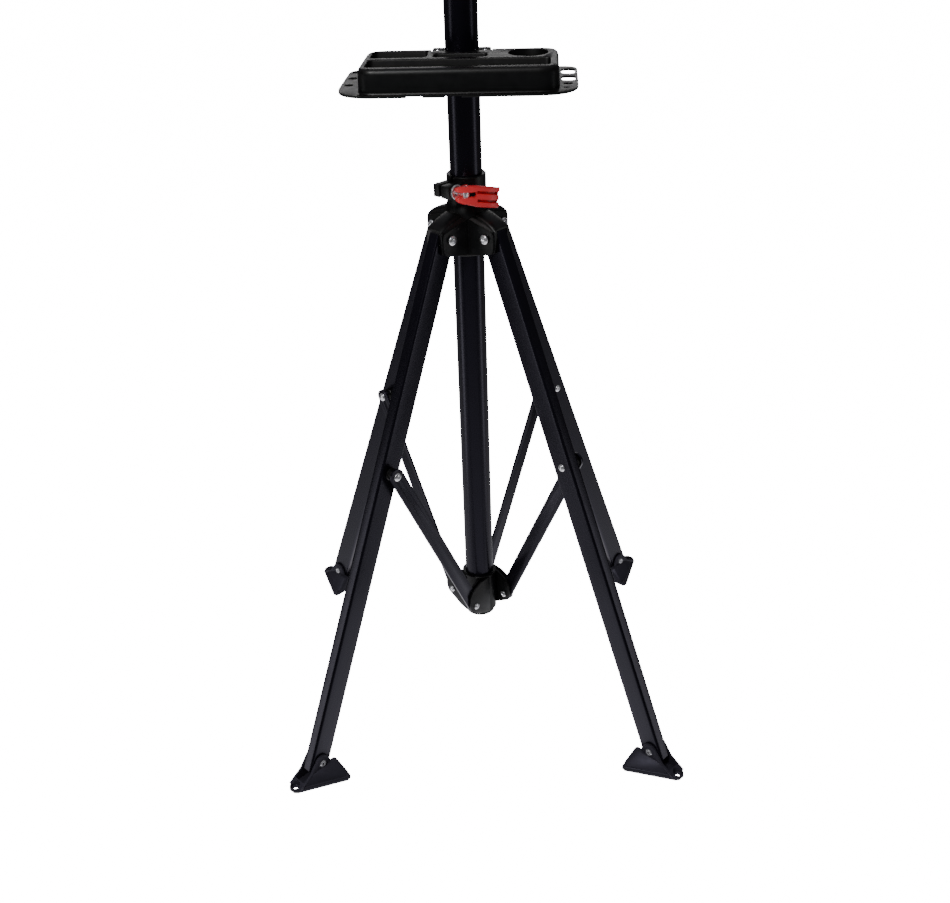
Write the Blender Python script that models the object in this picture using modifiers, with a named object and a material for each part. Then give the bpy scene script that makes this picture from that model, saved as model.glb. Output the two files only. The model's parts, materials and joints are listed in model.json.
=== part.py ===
"""A folding bike repair stand: a tube mast on four fold-out legs, a tool tray and a work clamp.

Metres, +Z up, the floor at Z = 0 and the mast's axis on Z. Each leg and its brace are drawn in a radial
frame: X outwards from the mast, Y sideways, Z up. Four turns of that frame give the four legs.
"""

import math

import bmesh
import bpy
from mathutils import Matrix, Vector

# Driving sizes
GAP = 0.0003
MAST_R = 0.019
MAST_WALL = 0.0015
MAST_BOTTOM = 0.104
MAST_TOP = 1.02
INNER_R = 0.0159
INNER_WALL = 0.0014
INNER_BOTTOM = 0.60
INNER_TOP = 1.30

HUB_PIVOT_R = 0.044
HUB_PIVOT_Z = 0.661
FOOT_PIVOT_R = 0.3104
FOOT_PIVOT_Z = 0.025
LEG_DEPTH = 0.030
LEG_WIDTH = 0.016
LEG_WALL = 0.0014
LEG_TAIL = 0.012
BRACE_SHARE = 0.425
BRACE_FOOT_R = 0.0315
BRACE_FOOT_Z = 0.1288
BRACE_WIDTH = 0.020
BRACE_THICK = 0.003
SPACER_LENGTH = 0.009
BOLT_R = 0.0027
HOLE_R = 0.0030
PIVOT_HEAD_Y = 0.0173

HUB_SLEEVE_R = 0.0245
HUB_BOTTOM = 0.6335
HUB_TOP = 0.7295
COLLAR_SLEEVE_R = 0.0225
COLLAR_BOTTOM = 0.1037
COLLAR_TOP = 0.1660
SPLIT_R = 0.0235
CLAMP_REACH = 0.033
CLAMP_HEIGHT = 0.015
CLAMP_LUG_IN = 0.0015
NUT_LUG_OUT = 0.0110
CAM_LUG_OUT = 0.0155
BARREL_Y = 0.0315
STUD_END_Y = 0.0350
LEVER_HEIGHT = 0.021
LEVER_R = 0.0464
LEVER_THICK = 0.0062
LEVER_DROOP = 0.0085
LOWER_CLAMP_Z = 0.7165
UPPER_CLAMP_Z = 1.028
UPPER_COLLAR_BOTTOM = 0.972
UPPER_COLLAR_TOP = 1.042

TRAY_TURN = math.radians(-4)
TRAY_RIM_Z = 0.870
TRAY_PLATE_Z = 0.8445
TRAY_PLATE_THICK = 0.0025
TRAY_SCREW_X = 0.0265
TRAY_SCREW_Z = TRAY_RIM_Z - 0.002
HEAD_Z = 1.335
SCREW_X = 0.137

LEG_TURNS = {"fl": 225, "fr": 315, "br": 45, "bl": 135}

# Worked out from the sizes above
LEG_LEAN = math.atan2(FOOT_PIVOT_R - HUB_PIVOT_R, HUB_PIVOT_Z - FOOT_PIVOT_Z)
LEG_LENGTH = math.hypot(FOOT_PIVOT_R - HUB_PIVOT_R, HUB_PIVOT_Z - FOOT_PIVOT_Z)
BRACE_ON_LEG = BRACE_SHARE * LEG_LENGTH
KNEE_R = HUB_PIVOT_R + BRACE_ON_LEG * math.sin(LEG_LEAN)
KNEE_Z = HUB_PIVOT_Z - BRACE_ON_LEG * math.cos(LEG_LEAN)
BRACE_LEAN = math.atan2(KNEE_R - BRACE_FOOT_R, KNEE_Z - BRACE_FOOT_Z)
BRACE_LENGTH = math.hypot(KNEE_R - BRACE_FOOT_R, KNEE_Z - BRACE_FOOT_Z)
HALF_LEG = LEG_WIDTH / 2
BRACE_IN = HALF_LEG + GAP + SPACER_LENGTH + GAP
BRACE_OUT = BRACE_IN + BRACE_THICK
EAR_THICK = 0.0025
SLOT = HALF_LEG + 0.0006

# Colours: base colour, metallic, roughness
FINISHES = {
    "black_paint": ((0.012, 0.012, 0.014), 0.0, 0.38),
    "black_plastic": ((0.016, 0.016, 0.017), 0.0, 0.55),
    "rubber": ((0.02, 0.02, 0.02), 0.0, 0.85),
    "red_plastic": ((0.75, 0.02, 0.02), 0.0, 0.35),
    "zinc": ((0.72, 0.72, 0.74), 1.0, 0.3),
}


def empty_scene():
    """Removes what the file starts with and returns the collections for the parts and for the cutters."""
    for obj in list(bpy.data.objects):
        bpy.data.objects.remove(obj)
    made = []
    for name in ("bike_repair_stand", "cutters"):
        group = bpy.data.collections.new(name)
        bpy.context.scene.collection.children.link(group)
        made.append(group)
    return made


def finish_material(name):
    """The material of one finish, made once."""
    material = bpy.data.materials.get(name)
    if material:
        return material
    colour, metallic, roughness = FINISHES[name]
    material = bpy.data.materials.new(name)
    material.use_nodes = True
    shader = material.node_tree.nodes["Principled BSDF"]
    shader.inputs["Base Color"].default_value = (*colour, 1)
    shader.inputs["Metallic"].default_value = metallic
    shader.inputs["Roughness"].default_value = roughness
    return material


def arc(centre, radius, start, end, steps):
    """Points on an arc, from one angle to another in degrees."""
    points = []
    for i in range(steps + 1):
        angle = math.radians(start + (end - start) * i / steps)
        points.append((centre[0] + radius * math.cos(angle), centre[1] + radius * math.sin(angle)))
    return points


def rounded_corners(corners, radius, steps=3):
    """A convex or concave outline with each corner turned into an arc."""
    points = []
    count = len(corners)
    radii = radius if isinstance(radius, (list, tuple)) else [radius] * count
    for i, corner in enumerate(corners):
        here = Vector(corner)
        before = (Vector(corners[i - 1]) - here)
        after = (Vector(corners[(i + 1) % count]) - here)
        r = min(radii[i], 0.49 * before.length, 0.49 * after.length)
        if r <= 0:
            points.append(tuple(here))
            continue
        before.normalize()
        after.normalize()
        half = before.angle(after) / 2
        reach = min(r / math.tan(half), 0.49 * (Vector(corners[i - 1]) - here).length,
                    0.49 * (Vector(corners[(i + 1) % count]) - here).length)
        start = here + before * reach
        end = here + after * reach
        for k in range(steps + 1):
            t = k / steps
            points.append(tuple(start * (1 - t) ** 2 + here * 2 * t * (1 - t) + end * t ** 2))
    return points


def outline_mesh(name, outlines, thickness, plane="XZ"):
    """A flat plate: a filled 2D curve, extruded to a thickness centred on its plane.

    outlines holds the outer edge first and then any holes.
    """
    curve = bpy.data.curves.new(name, "CURVE")
    curve.dimensions = "2D"
    curve.fill_mode = "BOTH"
    curve.extrude = thickness / 2
    for points in outlines:
        spline = curve.splines.new("POLY")
        spline.points.add(len(points) - 1)
        for point, (x, y) in zip(spline.points, points):
            point.co = (x, y, 0, 1)
        spline.use_cyclic_u = True
    holder = bpy.data.objects.new(name, curve)
    bpy.context.scene.collection.objects.link(holder)
    bpy.context.view_layer.update()
    graph = bpy.context.evaluated_depsgraph_get()
    mesh = bpy.data.meshes.new_from_object(holder.evaluated_get(graph))
    bpy.data.objects.remove(holder)
    if plane == "XZ":
        mesh.transform(Matrix.Rotation(math.pi / 2, 4, "X"))
    clean(mesh)
    return mesh


def clean(mesh):
    """Welds a mesh's doubled points and turns its faces out."""
    work = bmesh.new()
    work.from_mesh(mesh)
    bmesh.ops.remove_doubles(work, verts=work.verts, dist=1e-6)
    bmesh.ops.recalc_face_normals(work, faces=work.faces)
    work.to_mesh(mesh)
    work.free()


def box_mesh(size, centre=(0, 0, 0)):
    work = bmesh.new()
    bmesh.ops.create_cube(work, size=1)
    bmesh.ops.scale(work, vec=size, verts=work.verts)
    bmesh.ops.translate(work, vec=centre, verts=work.verts)
    mesh = bpy.data.meshes.new("box")
    work.to_mesh(mesh)
    work.free()
    return mesh


AXIS_TURNS = {
    "Z": Matrix(),
    "Y": Matrix.Rotation(-math.pi / 2, 4, "X"),
    "X": Matrix.Rotation(math.pi / 2, 4, "Y"),
}


def rod_mesh(radius, start, end, axis="Z", centre=(0, 0, 0), sides=16, end_radius=None):
    """A cylinder or cone from start to end along an axis through centre."""
    work = bmesh.new()
    bmesh.ops.create_cone(work, cap_ends=True, segments=sides, radius1=radius,
                          radius2=radius if end_radius is None else end_radius, depth=end - start)
    bmesh.ops.translate(work, vec=(0, 0, (start + end) / 2), verts=work.verts)
    bmesh.ops.transform(work, matrix=Matrix.Translation(centre) @ AXIS_TURNS[axis], verts=work.verts)
    mesh = bpy.data.meshes.new("rod")
    work.to_mesh(mesh)
    work.free()
    return mesh


def hull_mesh(points):
    """The convex solid around a set of points."""
    work = bmesh.new()
    for point in points:
        work.verts.new(point)
    made = bmesh.ops.convex_hull(work, input=work.verts)
    inside = [v for v in made["geom_interior"] if isinstance(v, bmesh.types.BMVert)]
    bmesh.ops.delete(work, geom=inside, context="VERTS")
    mesh = bpy.data.meshes.new("hull")
    work.to_mesh(mesh)
    work.free()
    clean(mesh)
    return mesh


def scratch(mesh, matrix=None):
    """An object to cut or join with, kept out of the model."""
    obj = bpy.data.objects.new("cutter", mesh)
    cutters.objects.link(obj)
    obj.hide_render = True
    obj.display_type = "WIRE"
    if matrix is not None:
        obj.matrix_world = matrix
    return obj


def combine(mesh, others, operation):
    """The mesh after a Boolean with each of the others in turn."""
    for other in others:
        base = scratch(mesh)
        tool = scratch(other)
        modifier = base.modifiers.new("boolean", "BOOLEAN")
        modifier.operation = operation
        modifier.object = tool
        bpy.context.view_layer.update()
        graph = bpy.context.evaluated_depsgraph_get()
        mesh = bpy.data.meshes.new_from_object(base.evaluated_get(graph))
        bpy.data.objects.remove(base)
        bpy.data.objects.remove(tool)
    return mesh


def cut(mesh, *others):
    return combine(mesh, others, "DIFFERENCE")


def join(mesh, *others):
    return combine(mesh, others, "UNION")


def moved(mesh, matrix):
    copy = mesh.copy()
    copy.transform(matrix)
    return copy


def turned_mesh(profile, sides=28, closed=True):
    """A ring or rod turned around Z. The profile is (radius, height), down the outer side from the top."""
    work = bmesh.new()
    verts = [work.verts.new((r, 0, z)) for r, z in profile]
    ends = list(zip(verts, verts[1:] + verts[:1])) if closed else list(zip(verts, verts[1:]))
    for a, b in ends:
        work.edges.new((a, b))
    mesh = bpy.data.meshes.new("profile")
    work.to_mesh(mesh)
    work.free()
    obj = scratch(mesh)
    screw = obj.modifiers.new("screw", "SCREW")
    screw.steps = sides
    screw.render_steps = sides
    screw.use_merge_vertices = True
    screw.merge_threshold = 0.00001
    screw.use_normal_calculate = True
    bpy.context.view_layer.update()
    graph = bpy.context.evaluated_depsgraph_get()
    made = bpy.data.meshes.new_from_object(obj.evaluated_get(graph))
    bpy.data.objects.remove(obj)
    clean(made)
    return made


def tube_mesh(outer, inner, bottom, top, sides=32):
    return turned_mesh([(outer, top), (outer, bottom), (inner, bottom), (inner, top)], sides)


def bevelled(mesh, width, segments=2, angle=35):
    """The mesh with its sharp edges rounded."""
    obj = scratch(mesh)
    modifier = obj.modifiers.new("bevel", "BEVEL")
    modifier.width = width
    modifier.segments = segments
    modifier.limit_method = "ANGLE"
    modifier.angle_limit = math.radians(angle)
    bpy.context.view_layer.update()
    graph = bpy.context.evaluated_depsgraph_get()
    made = bpy.data.meshes.new_from_object(obj.evaluated_get(graph))
    bpy.data.objects.remove(obj)
    return made


def place(name, mesh, finish, parent=None, matrix=None):
    """One named sub-part, with its material, under its parent."""
    obj = bpy.data.objects.new(name, mesh)
    parts.objects.link(obj)
    obj.parent = parent
    if matrix is not None:
        obj.matrix_local = matrix
    if not mesh.materials:
        mesh.materials.append(finish_material(finish))
    for face in mesh.polygons:
        face.material_index = 0
    mesh.shade_smooth()
    mesh.set_sharp_from_angle(angle=math.radians(35))
    return obj


def pivot(name, parent, matrix):
    """An empty on a joint's axis."""
    obj = bpy.data.objects.new(name, None)
    parts.objects.link(obj)
    obj.parent = parent
    obj.matrix_local = matrix
    return obj


def rounded_box_outline(width, depth, radius, centre=(0, 0), steps=3):
    x, y = width / 2, depth / 2
    corners = [(centre[0] + sx * x, centre[1] + sy * y) for sx, sy in ((-1, -1), (1, -1), (1, 1), (-1, 1))]
    return rounded_corners(corners, radius, steps)


def bolt_mesh(head_at, tip_at, head_r=0.0052, head_h=0.0030, shank_r=BOLT_R):
    """A button-head bolt along Y, its head's underside at head_at and its tip at tip_at."""
    sign = 1 if head_at > tip_at else -1
    tip = -abs(head_at - tip_at)
    profile = [(0, head_h), (0.6 * head_r, 0.85 * head_h), (head_r, 0.25 * head_h), (head_r, 0),
               (shank_r, 0), (shank_r, tip), (0, tip)]
    mesh = turned_mesh(profile, 16, closed=False)
    turn = Matrix.Rotation(-sign * math.pi / 2, 4, "X")
    mesh.transform(Matrix.Translation((0, head_at, 0)) @ turn)
    socket = rod_mesh(0.0021, -0.002, 0.001, "Y", (0, head_at + sign * head_h, 0), 6)
    return cut(mesh, socket)


def pin_mesh(low, high, head_r, head_h, shank_r=BOLT_R, sides=12):
    """A pin along Y with a chamfered head on each end, the heads' undersides at low and high."""
    profile = [(0, high + head_h), (0.7 * head_r, high + head_h), (head_r, high + 0.4 * head_h),
               (head_r, high), (shank_r, high), (shank_r, low), (head_r, low),
               (head_r, low - 0.4 * head_h), (0.7 * head_r, low - head_h), (0, low - head_h)]
    mesh = turned_mesh(profile, sides, closed=False)
    mesh.transform(AXIS_TURNS["Y"])
    return mesh


def nut_mesh(start, end, across=0.0048, centre=(0, 0, 0), bore=HOLE_R, sides=6):
    """A nut along Y with its bore."""
    low, high = min(start, end), max(start, end)
    blank = rod_mesh(across, low, high, "Y", centre, sides)
    return cut(blank, rod_mesh(bore, low - 0.001, high + 0.001, "Y", centre, 12))


def place_round(name, mesh, finish, root, radius, height):
    """One copy of a piece for each leg, its origin at a radius and a height in the leg's frame."""
    offset = Matrix.Translation((radius, 0, height))
    for leg, turn in LEG_TURNS.items():
        place(name + "_" + leg, mesh, finish, root, in_frame(turn) @ offset)


def in_frame(turn):
    return Matrix.Rotation(math.radians(turn), 4, "Z")


# ---- Mast ----------------------------------------------------------------------------------------------

def build_mast(root):
    tube = tube_mesh(MAST_R, MAST_R - MAST_WALL, MAST_BOTTOM, MAST_TOP, 32)
    place("mast_tube", tube, "black_paint", root)
    cap_r = MAST_R - MAST_WALL - GAP
    top, flange, foot = MAST_BOTTOM + 0.018, MAST_BOTTOM - GAP, MAST_BOTTOM - 0.005
    profile = [(0, top), (cap_r, top), (cap_r, flange), (0.0205, flange), (0.0195, foot), (0, foot)]
    place("mast_end_plug", turned_mesh(profile, 32, closed=False), "rubber", root)


def clevis_outline():
    """One ear of the bottom collar in the radial plane, narrowing outwards from above and below."""
    corners = [(0.004, 0.1050), (0.016, 0.1085), (0.0405, 0.1230), (0.0432, 0.1335), (0.0422, 0.1470),
               (0.0370, 0.1545), (0.0210, 0.1622), (0.004, 0.1645)]
    return rounded_corners(corners, [0, 0.006, 0.007, 0.006, 0.006, 0.006, 0.006, 0], 2)


def build_bottom_collar(root):
    """The collar that the braces are pinned to. Its four clevises sit beside the mast."""
    bead_r, bead_bottom = COLLAR_SLEEVE_R + 0.001, COLLAR_TOP - 0.004
    blank_r = 0.0140
    sleeve = turned_mesh([(COLLAR_SLEEVE_R, bead_bottom), (COLLAR_SLEEVE_R, COLLAR_BOTTOM + 0.001),
                          (COLLAR_SLEEVE_R - 0.001, COLLAR_BOTTOM), (blank_r, COLLAR_BOTTOM),
                          (blank_r, COLLAR_TOP), (bead_r, COLLAR_TOP), (bead_r, bead_bottom)], 32)
    outer_mid = BRACE_OUT + GAP + EAR_THICK / 2
    inner_mid = BRACE_IN - GAP - EAR_THICK / 2
    ears = []
    for mid in (outer_mid, inner_mid):
        ear = outline_mesh("ear", [clevis_outline()], EAR_THICK)
        hole = rod_mesh(HOLE_R, mid - 0.01, mid + 0.01, "Y", (BRACE_FOOT_R, 0, BRACE_FOOT_Z), 12)
        ear.transform(Matrix.Translation((0, mid, 0)))
        ears.append(cut(ear, hole))
    body = sleeve
    for turn in LEG_TURNS.values():
        body = join(body, *[moved(ear, in_frame(turn)) for ear in ears])
    bore = rod_mesh(MAST_R + GAP, COLLAR_BOTTOM - 0.01, COLLAR_TOP + 0.01, "Z", (0, 0, 0), 28)
    place("bottom_collar", cut(body, bore), "black_plastic", root)

    half_ear = EAR_THICK / 2 + GAP
    pin = pin_mesh(inner_mid - half_ear, outer_mid + half_ear, 0.0046, 0.0024)
    place_round("brace_foot_bolt", pin, "zinc", root, BRACE_FOOT_R, BRACE_FOOT_Z)


# ---- Quick-release clamp, used on the hub and on the mast's top ----------------------------------------

def clamp_lugs(z):
    """The two lugs of a split collar, in a radial frame: X outwards, Y across the split."""
    lugs = []
    for sign, out in ((-1, NUT_LUG_OUT), (1, CAM_LUG_OUT)):
        size = (0.026, out - CLAMP_LUG_IN, CLAMP_HEIGHT)
        centre = (0.030, sign * (CLAMP_LUG_IN + out) / 2, z)
        lugs.append(box_mesh(size, centre))
    return lugs


def clamp_cuts(z, low, high):
    """The split and the stud's hole."""
    split = box_mesh((0.050, 2 * CLAMP_LUG_IN + 0.0002, high - low), (0.037, 0, (high + low) / 2))
    stud_hole = rod_mesh(0.0029, -0.03, 0.03, "Y", (CLAMP_REACH, 0, z), 12)
    return [split, stud_hole]


def lever_grip():
    """The lever's grip: a strip that curls round the collar and droops towards its end."""
    start, end, steps = 42, 95, 9
    low, high = LEVER_R - LEVER_THICK / 2, LEVER_R + LEVER_THICK / 2
    half = LEVER_HEIGHT / 2
    work = bmesh.new()
    rings = []
    for i in range(steps + 1):
        share = i / steps
        angle = math.radians(start + (end - start) * share)
        drop = LEVER_DROOP * share ** 1.6
        corners = [(low, -half), (high, -half), (high, half), (low, half)]
        rings.append([work.verts.new((r * math.cos(angle), r * math.sin(angle), z - drop)) for r, z in corners])
    for ring, following in zip(rings, rings[1:]):
        for k in range(4):
            work.faces.new((ring[k], ring[k - 1], following[k - 1], following[k]))
    work.faces.new(rings[0])
    work.faces.new(rings[-1])
    mesh = bpy.data.meshes.new("grip")
    work.to_mesh(mesh)
    work.free()
    clean(mesh)
    return mesh


def lever_mesh():
    """The cam lever in the clamp's radial frame: it pivots on the barrel, in a fork open around the stud."""
    corners = [(0.0255, 0.0200), (0.0400, 0.0200), (0.0415, 0.0260), (0.0400, 0.0330), (0.0350, 0.0400),
               (0.0275, 0.0375)]
    outline = rounded_corners(corners, [0.003, 0.0045, 0.003, 0.003, 0.003, 0.003], 2)
    head = outline_mesh("head", [outline], LEVER_HEIGHT, "XY")
    body = join(head, lever_grip())
    sector = arc((0, 0), 0.022, 10, 60, 6) + arc((0, 0), 0.062, 60, 10, 6)
    slot = outline_mesh("slot", [sector], 0.0064, "XY")
    bore = rod_mesh(0.0040, -0.02, 0.02, "Z", (CLAMP_REACH, BARREL_Y, 0), 16)
    return cut(body, slot, bore)


def build_clamp(prefix, root, turn, z):
    """Lever, stud with its barrel, cup washer and nut of one quick-release clamp."""
    frame = in_frame(turn)
    stud = rod_mesh(0.0025, -0.0165, STUD_END_Y, "Y", (CLAMP_REACH, 0, z), 12)
    barrel = rod_mesh(0.0037, -0.0098, 0.0098, "Z", (CLAMP_REACH, BARREL_Y, z), 16)
    place(prefix + "_clamp_stud", moved(join(barrel, stud), frame), "zinc", root)
    washer = turned_mesh([(0.0088, 0.0020), (0.0088, 0), (0.0030, 0), (0.0030, 0.0020)], 24)
    washer.transform(Matrix.Translation((CLAMP_REACH, CAM_LUG_OUT + 0.0002, z)) @ AXIS_TURNS["Y"])
    place(prefix + "_clamp_washer", moved(washer, frame), "zinc", root)
    nut = nut_mesh(-0.0160, -NUT_LUG_OUT - 0.0003, 0.0062, (CLAMP_REACH, 0, z), 0.0029)
    place(prefix + "_clamp_nut", moved(nut, frame), "zinc", root)
    hinge = pivot(prefix + "_lever_axis", root, frame @ Matrix.Translation((CLAMP_REACH, BARREL_Y, z)))
    lever = moved(lever_mesh(), Matrix.Translation((-CLAMP_REACH, -BARREL_Y, 0)))
    place(prefix + "_clamp_lever", lever, "red_plastic", hinge)


# ---- Hub -----------------------------------------------------------------------------------------------

def boss_half(radius):
    """Half the width over an arm's side bosses: they thin down outwards."""
    return 0.0190 - 0.115 * (radius - 0.019)


def hub_arm():
    """One leg's arm: a roofed channel around the leg's top, with a thick boss on each side of the pivot."""
    roof = [(0.010, 0.6455), (0.0565, 0.6455), (0.0565, 0.6755), (0.0450, 0.6815), (0.0220, 0.6890),
            (0.010, 0.6920)]
    core = outline_mesh("core", [rounded_corners(roof, [0, 0.006, 0.004, 0.006, 0.006, 0], 2)], 0.0230)
    core = bevelled(core, 0.0020, 1, 50)
    boss = [(0.012, 0.6355), (0.0550, 0.6430), (0.0550, 0.6705), (0.0200, 0.6810), (0.012, 0.6820)]
    bosses = outline_mesh("bosses", [rounded_corners(boss, [0, 0.010, 0.006, 0, 0], 2)], 2)
    for vertex in bosses.vertices:
        vertex.co.y *= boss_half(vertex.co.x)
    return join(core, bosses)


def hub_slot():
    """The room for a leg in its arm: open below and outwards, closed by the roof above."""
    below = HUB_BOTTOM - 0.010
    roof_under = [(0.0262, below), (0.0800, below), (0.0800, 0.6722), (0.0565, 0.6722), (0.0440, 0.6785),
                  (0.0262, 0.6800)]
    return outline_mesh("slot", [roof_under], 2 * SLOT)


def build_hub(root):
    blank_r = 0.0150
    body = turned_mesh([(HUB_SLEEVE_R, HUB_BOTTOM + 0.0015), (HUB_SLEEVE_R - 0.0015, HUB_BOTTOM),
                        (blank_r, HUB_BOTTOM), (blank_r, HUB_TOP), (SPLIT_R - 0.0010, HUB_TOP),
                        (SPLIT_R, HUB_TOP - 0.0010), (SPLIT_R, 0.6940), (HUB_SLEEVE_R + 0.002, 0.6880)])
    for turn in LEG_TURNS.values():
        body = join(body, moved(hub_arm(), in_frame(turn)))
    lug_frame = in_frame(LEG_TURNS["fl"])
    body = join(body, *[moved(lug, lug_frame) for lug in clamp_lugs(LOWER_CLAMP_Z)])
    body = cut(body, rod_mesh(MAST_R + 0.0018, HUB_BOTTOM - 0.01, HUB_TOP + 0.01, sides=28))
    hole = rod_mesh(HOLE_R, -0.03, 0.03, "Y", (HUB_PIVOT_R, 0, HUB_PIVOT_Z), 12)
    for turn in LEG_TURNS.values():
        body = cut(body, moved(hub_slot(), in_frame(turn)), moved(hole, in_frame(turn)))
    openings = clamp_cuts(LOWER_CLAMP_Z, 0.7020, HUB_TOP + 0.01)
    body = cut(body, *[moved(opening, lug_frame) for opening in openings])
    place("hub", body, "black_plastic", root)

    liner = tube_mesh(MAST_R + 0.0015, MAST_R + GAP, HUB_BOTTOM, HUB_TOP - 0.0005, 28)
    gap = box_mesh((0.03, 0.0030, 0.2), (0.02, 0, HUB_TOP - 0.05))
    place("hub_liner", cut(liner, moved(gap, lug_frame)), "black_plastic", root)

    pin = pin_mesh(-PIVOT_HEAD_Y, PIVOT_HEAD_Y, 0.0056, 0.0028)
    place_round("leg_pivot_bolt", pin, "zinc", root, HUB_PIVOT_R, HUB_PIVOT_Z)


# ---- Legs, feet and braces -----------------------------------------------------------------------------

def leg_mesh():
    """The leg's rectangular tube along -Z from its pivot, its top end rounded about the pivot."""
    outer = rounded_box_outline(LEG_DEPTH, LEG_WIDTH, 0.003, steps=1)
    inner = rounded_box_outline(LEG_DEPTH - 2 * LEG_WALL, LEG_WIDTH - 2 * LEG_WALL, 0.0018, steps=1)
    length = LEG_LENGTH + LEG_TAIL + LEG_DEPTH / 2
    tube = outline_mesh("leg", [outer, inner], length, "XY")
    tube.transform(Matrix.Translation((0, 0, LEG_DEPTH / 2 - length / 2)))
    half = LEG_DEPTH / 2
    past = half + 0.01
    crown = arc((0, 0), half, 180, 0, 8) + [(past, 0.0), (past, 0.03), (-past, 0.03), (-past, 0.0)]
    trim = outline_mesh("trim", [crown], 0.05)
    holes = [rod_mesh(HOLE_R, -0.02, 0.02, "Y", (0, 0, z), 12) for z in (0, -BRACE_ON_LEG, -LEG_LENGTH)]
    return cut(tube, trim, *holes)


def foot_mesh():
    """The arrow-shaped foot around its rivet: a flat base, wide at the heel, under two ears for the leg."""
    floor = -FOOT_PIVOT_Z
    toe, heel = 0.0452, -0.0245
    toe_half, heel_half = 0.0085, 0.0388
    eye = 0.0385
    base = []
    for side in (-1, 1):
        base += [(toe, side * toe_half * 0.5), (toe - 0.003, side * toe_half),
                 (heel + 0.006, side * heel_half), (heel + 0.001, side * (heel_half - 0.002)),
                 (heel, side * (heel_half - 0.006))]
    points = [(x, y, floor) for x, y in base] + [(x, y, floor + 0.0055) for x, y in base]
    ridge = [(0.035, 0.0080, 0.009), (0.012, 0.0120, 0.018), (-0.018, 0.0150, 0.0200), (-0.021, 0.0120, 0.0185)]
    points += [(x, side * y, floor + z) for side in (-1, 1) for x, y, z in ridge]
    body = hull_mesh(points)
    ear_corners = [(-0.020, floor + 0.004), (0.038, floor + 0.006), (0.014, 0.010), (0.0035, 0.0125),
                   (-0.0105, 0.0100), (-0.0135, -0.006)]
    ear_outline = rounded_corners(ear_corners, [0, 0.002, 0.004, 0.008, 0.007, 0.003], 2)
    ears = outline_mesh("ears", [ear_outline], 0.0226)
    body = join(body, ears)
    channel = box_mesh((0.062, 2 * SLOT, 0.060), (-0.0005, 0, floor + 0.0035 + 0.030))
    toe_hole = rod_mesh(0.0031, floor - 0.01, 0.03, "Z", (eye, 0, 0), 12)
    rivet_hole = rod_mesh(HOLE_R, -0.02, 0.02, "Y", (0, 0, 0), 12)
    return cut(body, channel, toe_hole, rivet_hole)


def brace_mesh():
    """The flat brace along +Z from its foot pivot, with the spacer that stands it off the leg."""
    half = BRACE_WIDTH / 2
    outline = arc((0, 0), half, 180, 360, 8) + arc((0, BRACE_LENGTH), half, 0, 180, 8)
    bar = outline_mesh("brace", [outline], BRACE_THICK)
    bar.transform(Matrix.Translation((0, (BRACE_IN + BRACE_OUT) / 2, 0)))
    spacer = rod_mesh(0.0080, HALF_LEG + GAP, BRACE_IN + 0.001, "Y", (0, 0, BRACE_LENGTH), 20)
    holes = [rod_mesh(HOLE_R, -0.01, 0.04, "Y", (0, 0, z), 12) for z in (0, BRACE_LENGTH)]
    return cut(join(bar, spacer), *holes)


def build_legs(root):
    leg = leg_mesh()
    rivet = pin_mesh(-0.0117, 0.0117, 0.0048, 0.0016)
    foot = foot_mesh()
    brace = brace_mesh()
    bolt = bolt_mesh(BRACE_OUT + GAP, HALF_LEG + 2 * GAP, 0.0056, 0.0030)
    at_hub = Matrix.Translation((HUB_PIVOT_R, 0, HUB_PIVOT_Z)) @ Matrix.Rotation(-LEG_LEAN, 4, "Y")
    at_ankle = Matrix.Translation((FOOT_PIVOT_R, 0, FOOT_PIVOT_Z))
    at_collar = Matrix.Translation((BRACE_FOOT_R, 0, BRACE_FOOT_Z)) @ Matrix.Rotation(BRACE_LEAN, 4, "Y")
    for name, turn in LEG_TURNS.items():
        frame = in_frame(turn)
        hinge = pivot("leg_axis_" + name, root, frame @ at_hub)
        place("leg_" + name, leg, "black_paint", hinge)
        place("foot_rivet_" + name, rivet, "zinc", hinge, Matrix.Translation((0, 0, -LEG_LENGTH)))
        ankle = pivot("foot_axis_" + name, root, frame @ at_ankle)
        place("foot_" + name, foot, "black_plastic", ankle)
        knee = pivot("brace_axis_" + name, root, frame @ at_collar)
        place("brace_" + name, brace, "black_paint", knee)
        place("brace_bolt_" + name, bolt, "zinc", knee, Matrix.Translation((0, 0, BRACE_LENGTH)))


# ---- Tool tray -----------------------------------------------------------------------------------------

TRAY_WELLS = {
    "left": (-0.0990, -0.0370, -0.0430, -0.0045),
    "middle": (-0.0295, 0.0300, -0.0445, -0.0248),
    "front": (-0.0990, 0.0992, -0.0920, -0.0545),
}
CUP_R = 0.0222
CUP_AT = (0.0748, -0.0250, 0)
TOOL_SLOTS = {
    "left": [(-0.1235, 0.010, 0.009, 0.013), (-0.1220, -0.023, 0.010, 0.013),
             (-0.1215, -0.058, 0.010, 0.013), (-0.1020, -0.1085, 0.007, 0.004)],
    "right": [(0.1190, -0.004, 0.0155, 0.027), (0.1190, -0.040, 0.0155, 0.024),
              (0.1182, -0.068, 0.011, 0.009), (0.1165, -0.0865, 0.007, 0.005)],
}


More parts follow.
